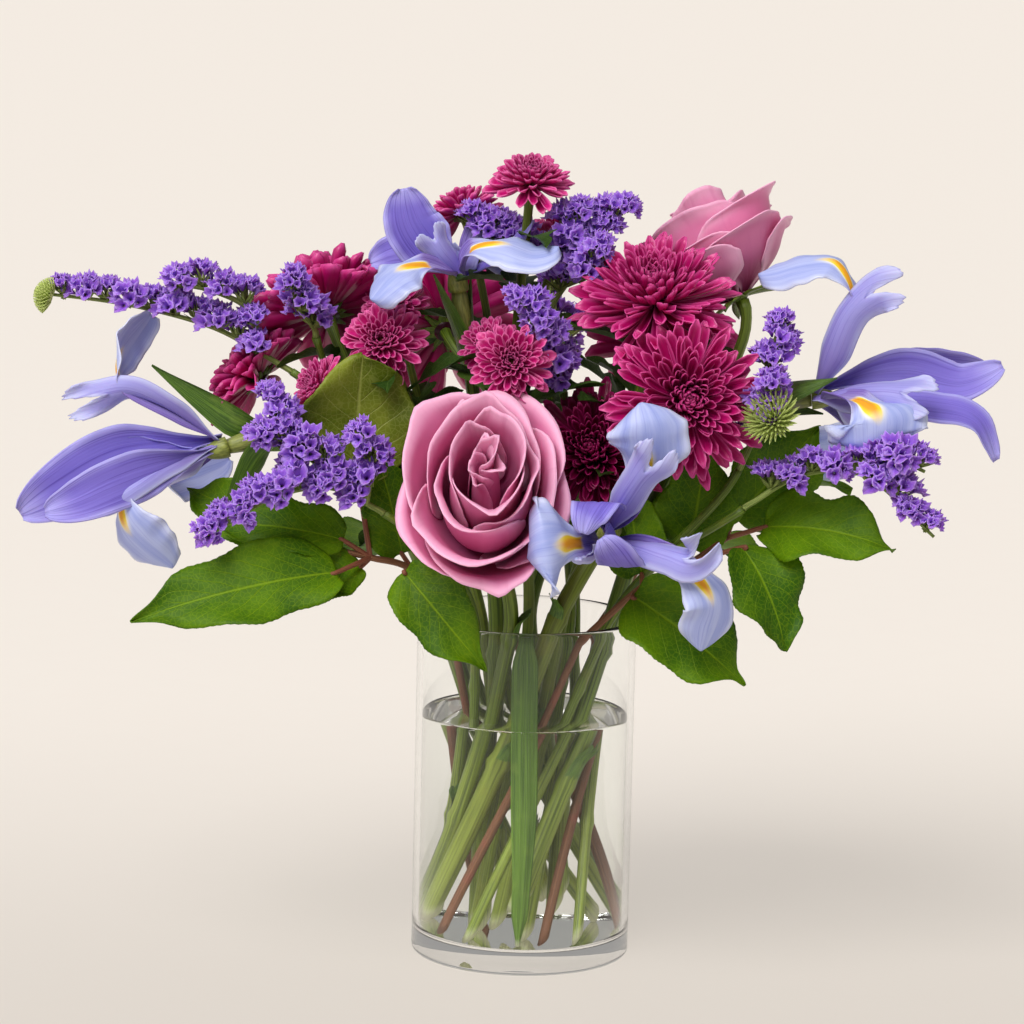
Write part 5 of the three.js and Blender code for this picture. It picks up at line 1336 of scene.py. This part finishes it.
# One cluster: cups side by side on a small dome, pale bracts below them and hairs between
def addCluster(flowers, greens, place, out, size):
    cross = out.orthogonal().normalized()
    count = floretForm["cluster"]

    def asideAt(around):
        return cross * cos(around) + out.cross(cross) * sin(around)

    for j in range(count):
        reach = sqrt((j + 0.3) / count)
        aside = asideAt(2.4 * j + uniform(-0.4, 0.4)) * reach
        heading = (out + aside * 0.9).normalized()
        dome = out * size * (6.0 - 2.6 * reach * reach) * uniform(0.8, 1.1)
        root = place + aside * floretForm["spread"] * 0.56 * size + dome
        placed = frameAt(root, heading, uniform(0, 72))
        addFloret(flowers, placed, size * uniform(0.72, 1.1), random.random() * 0.8)
        tone = random.random() * 0.5
        addSheet(greens, 3, 2, bractShape, tone, 0, frameAt(root, heading, uniform(0, 360)))
    for j in range(floretForm["hairs"]):
        aside = asideAt(0.9 * j)
        start = place + aside * 0.6
        end = place + aside * size * uniform(3.0, 5.5) + out * size * uniform(2.5, 5.5)
        middle = start.lerp(end, 0.5) + aside * 0.8
        addTube(greens, [start, middle, end], lambda t: 0.7 - 0.35 * t, 5, 0.3)


# A brush of narrow green bracts whose cups have not opened yet
def addBrush(mesh, brush):
    length = brush["length"]

    def bract(t, s):
        droop = 0.12 * length * t * t
        return Vector((0.4 * s * s - droop, 1.2 * s * (1 - t) ** 0.6, length * (0.3 + 0.7 * t)))

    for k in range(floretForm["brush"]):
        lean = Matrix.Rotation(radians(6.2 * sqrt(k)), 4, "Y")
        placed = frameAt(brush["at"], brush["facing"], goldenAngle * k) @ lean
        addSheet(mesh, 4, 2, bract, random.random() * 0.4, 1, placed)


def addSpray(flowers, greens, spray):
    facing = Vector(spray["facing"]).normalized()
    up = Vector(spray["up"]).normalized()
    first = [spray["base"], Vector(spray["base"]) + facing * 5]
    lines = [smoothLine((first if k == 0 else []) + path) for k, path in enumerate(spray["paths"])]
    lengths = [lengthsOf(line)[-1] for line in lines]
    for line, length in zip(lines, lengths):
        addTube(greens, line, lambda t: staticeStem["branch"] - 0.8 * t, 8, 0.2)
        count = round(spray["florets"] * 0.9 * length / sum(lengths))
        for k in range(count):
            t = 0.1 + 0.9 * (k + 0.5) / count
            place, ahead = along(line, min(1.0, t))
            side = ahead.cross(up).normalized()
            swing = (0.5 if k % 2 else -0.5) * uniform(0.5, 1.2)
            out = (up + side * swing + ahead * 0.25).normalized()
            size = uniform(0.86, 1.12) * (1 - 0.25 * ease(t, 0.7, 1.0))
            addCluster(flowers, greens, place + out * 1.8, out, size)


for name, item in statices.items():
    mesh = startMesh()
    heads = [
        {"base": Vector(spray["base"]), "facing": Vector(spray["facing"]), "reach": staticeStem["reach"]}
        for spray in item["sprays"].values()
    ]
    radius, knots = staticeStem["radius"], staticeStem["knots"]
    addStem(mesh, item["ring"], item["angle"], radius, knots, 0, heads, 0.2, 1.0)
    finishPiece(name + "_smooth", mesh, [stemFinish, pithFinish], [name])
    for sprayName, spray in item["sprays"].items():
        flowers, greens = startMesh(), startMesh()
        addSpray(flowers, greens, spray)
        if "brush" in spray:
            addBrush(greens, spray["brush"])
        finishPiece(sprayName + "_florets", flowers, [staticeFinish], [sprayName], 0.25)
        finishPiece(sprayName + "_greens", greens, [bractFinish, brushFinish], (), 0.2)

print("stage: floor, light and camera")

floorMesh = bmesh.new()
bmesh.ops.create_grid(floorMesh, x_segments=8, y_segments=8, size=40.0)  # metres
floorData = meshData("floor", floorMesh)
floorData.materials.append(floorMaterial())
addObject("floor", floorData)

# low and high are the room's light from the side and from above. Places are in metres
light = {
    "low": 0.28, "high": 0.4, "room": (1.0, 0.975, 0.95, 1), "aim": (0, 0, 0.2),
    "sun": 2.9, "sunAngle": 40.0, "sunColour": (1.0, 0.98, 0.95), "sunPlace": (-1.2, -2.0, 2.7),
    "box": 1.0, "boxSize": (0.5, 1.4), "boxPlace": (1.5, -0.4, 0.9),
}
world = bpy.data.worlds.new("softStudio")
bpy.context.scene.world = world
world.use_nodes = True
tree = world.node_tree
background = tree.nodes["Background"]
height = split(tree, addNode(tree, "ShaderNodeTexCoord").outputs["Generated"])[2]
strength = addNode(tree, "ShaderNodeMapRange", {
    "Value": height, "From Min": 0.0, "From Max": 1.0, "To Min": light["low"], "To Max": light["high"]})
background.inputs[0].default_value = light["room"]
tree.links.new(strength.outputs[0], background.inputs[1])


def aim(lamp, place):
    lamp.location = place
    lamp.rotation_euler = (Vector(light["aim"]) - Vector(place)).to_track_quat("-Z", "Y").to_euler()


sunData = bpy.data.lights.new("window", "SUN")
sunData.energy = light["sun"]
sunData.angle = radians(light["sunAngle"])
sunData.color = light["sunColour"]
aim(addObject("window", sunData), light["sunPlace"])
for side in (-1, 1):
    boxData = bpy.data.lights.new("softBox", "AREA")
    boxData.shape = "RECTANGLE"
    boxData.size, boxData.size_y = light["boxSize"]
    boxData.energy = light["box"]
    aim(addObject("softBox", boxData), Vector(light["boxPlace"]) * Vector((side, 1, 1)))

# pitch and roll are in degrees, place is in metres, and lens and sensor are in millimetres
view = {"pitch": 8.96, "roll": 1.34, "place": (-0.0082, -1.79, 0.49), "lens": 137.46, "sensor": 36.0}
cameraData = bpy.data.cameras.new("camera")
cameraData.sensor_width = view["sensor"]
cameraData.lens = view["lens"]
camera = addObject("camera", cameraData)
pitch, roll = radians(view["pitch"]), radians(view["roll"])
ahead = Vector((0, cos(pitch), -sin(pitch)))
right = Vector((1, 0, 0))
up = right.cross(ahead)
turnedRight = right * cos(roll) + up * sin(roll)
turnedUp = up * cos(roll) - right * sin(roll)
placed = Matrix((turnedRight, turnedUp, -ahead)).transposed().to_4x4()
placed.translation = Vector(view["place"])
camera.matrix_world = placed
bpy.context.scene.camera = camera
bpy.context.scene.view_settings.view_transform = "Standard"
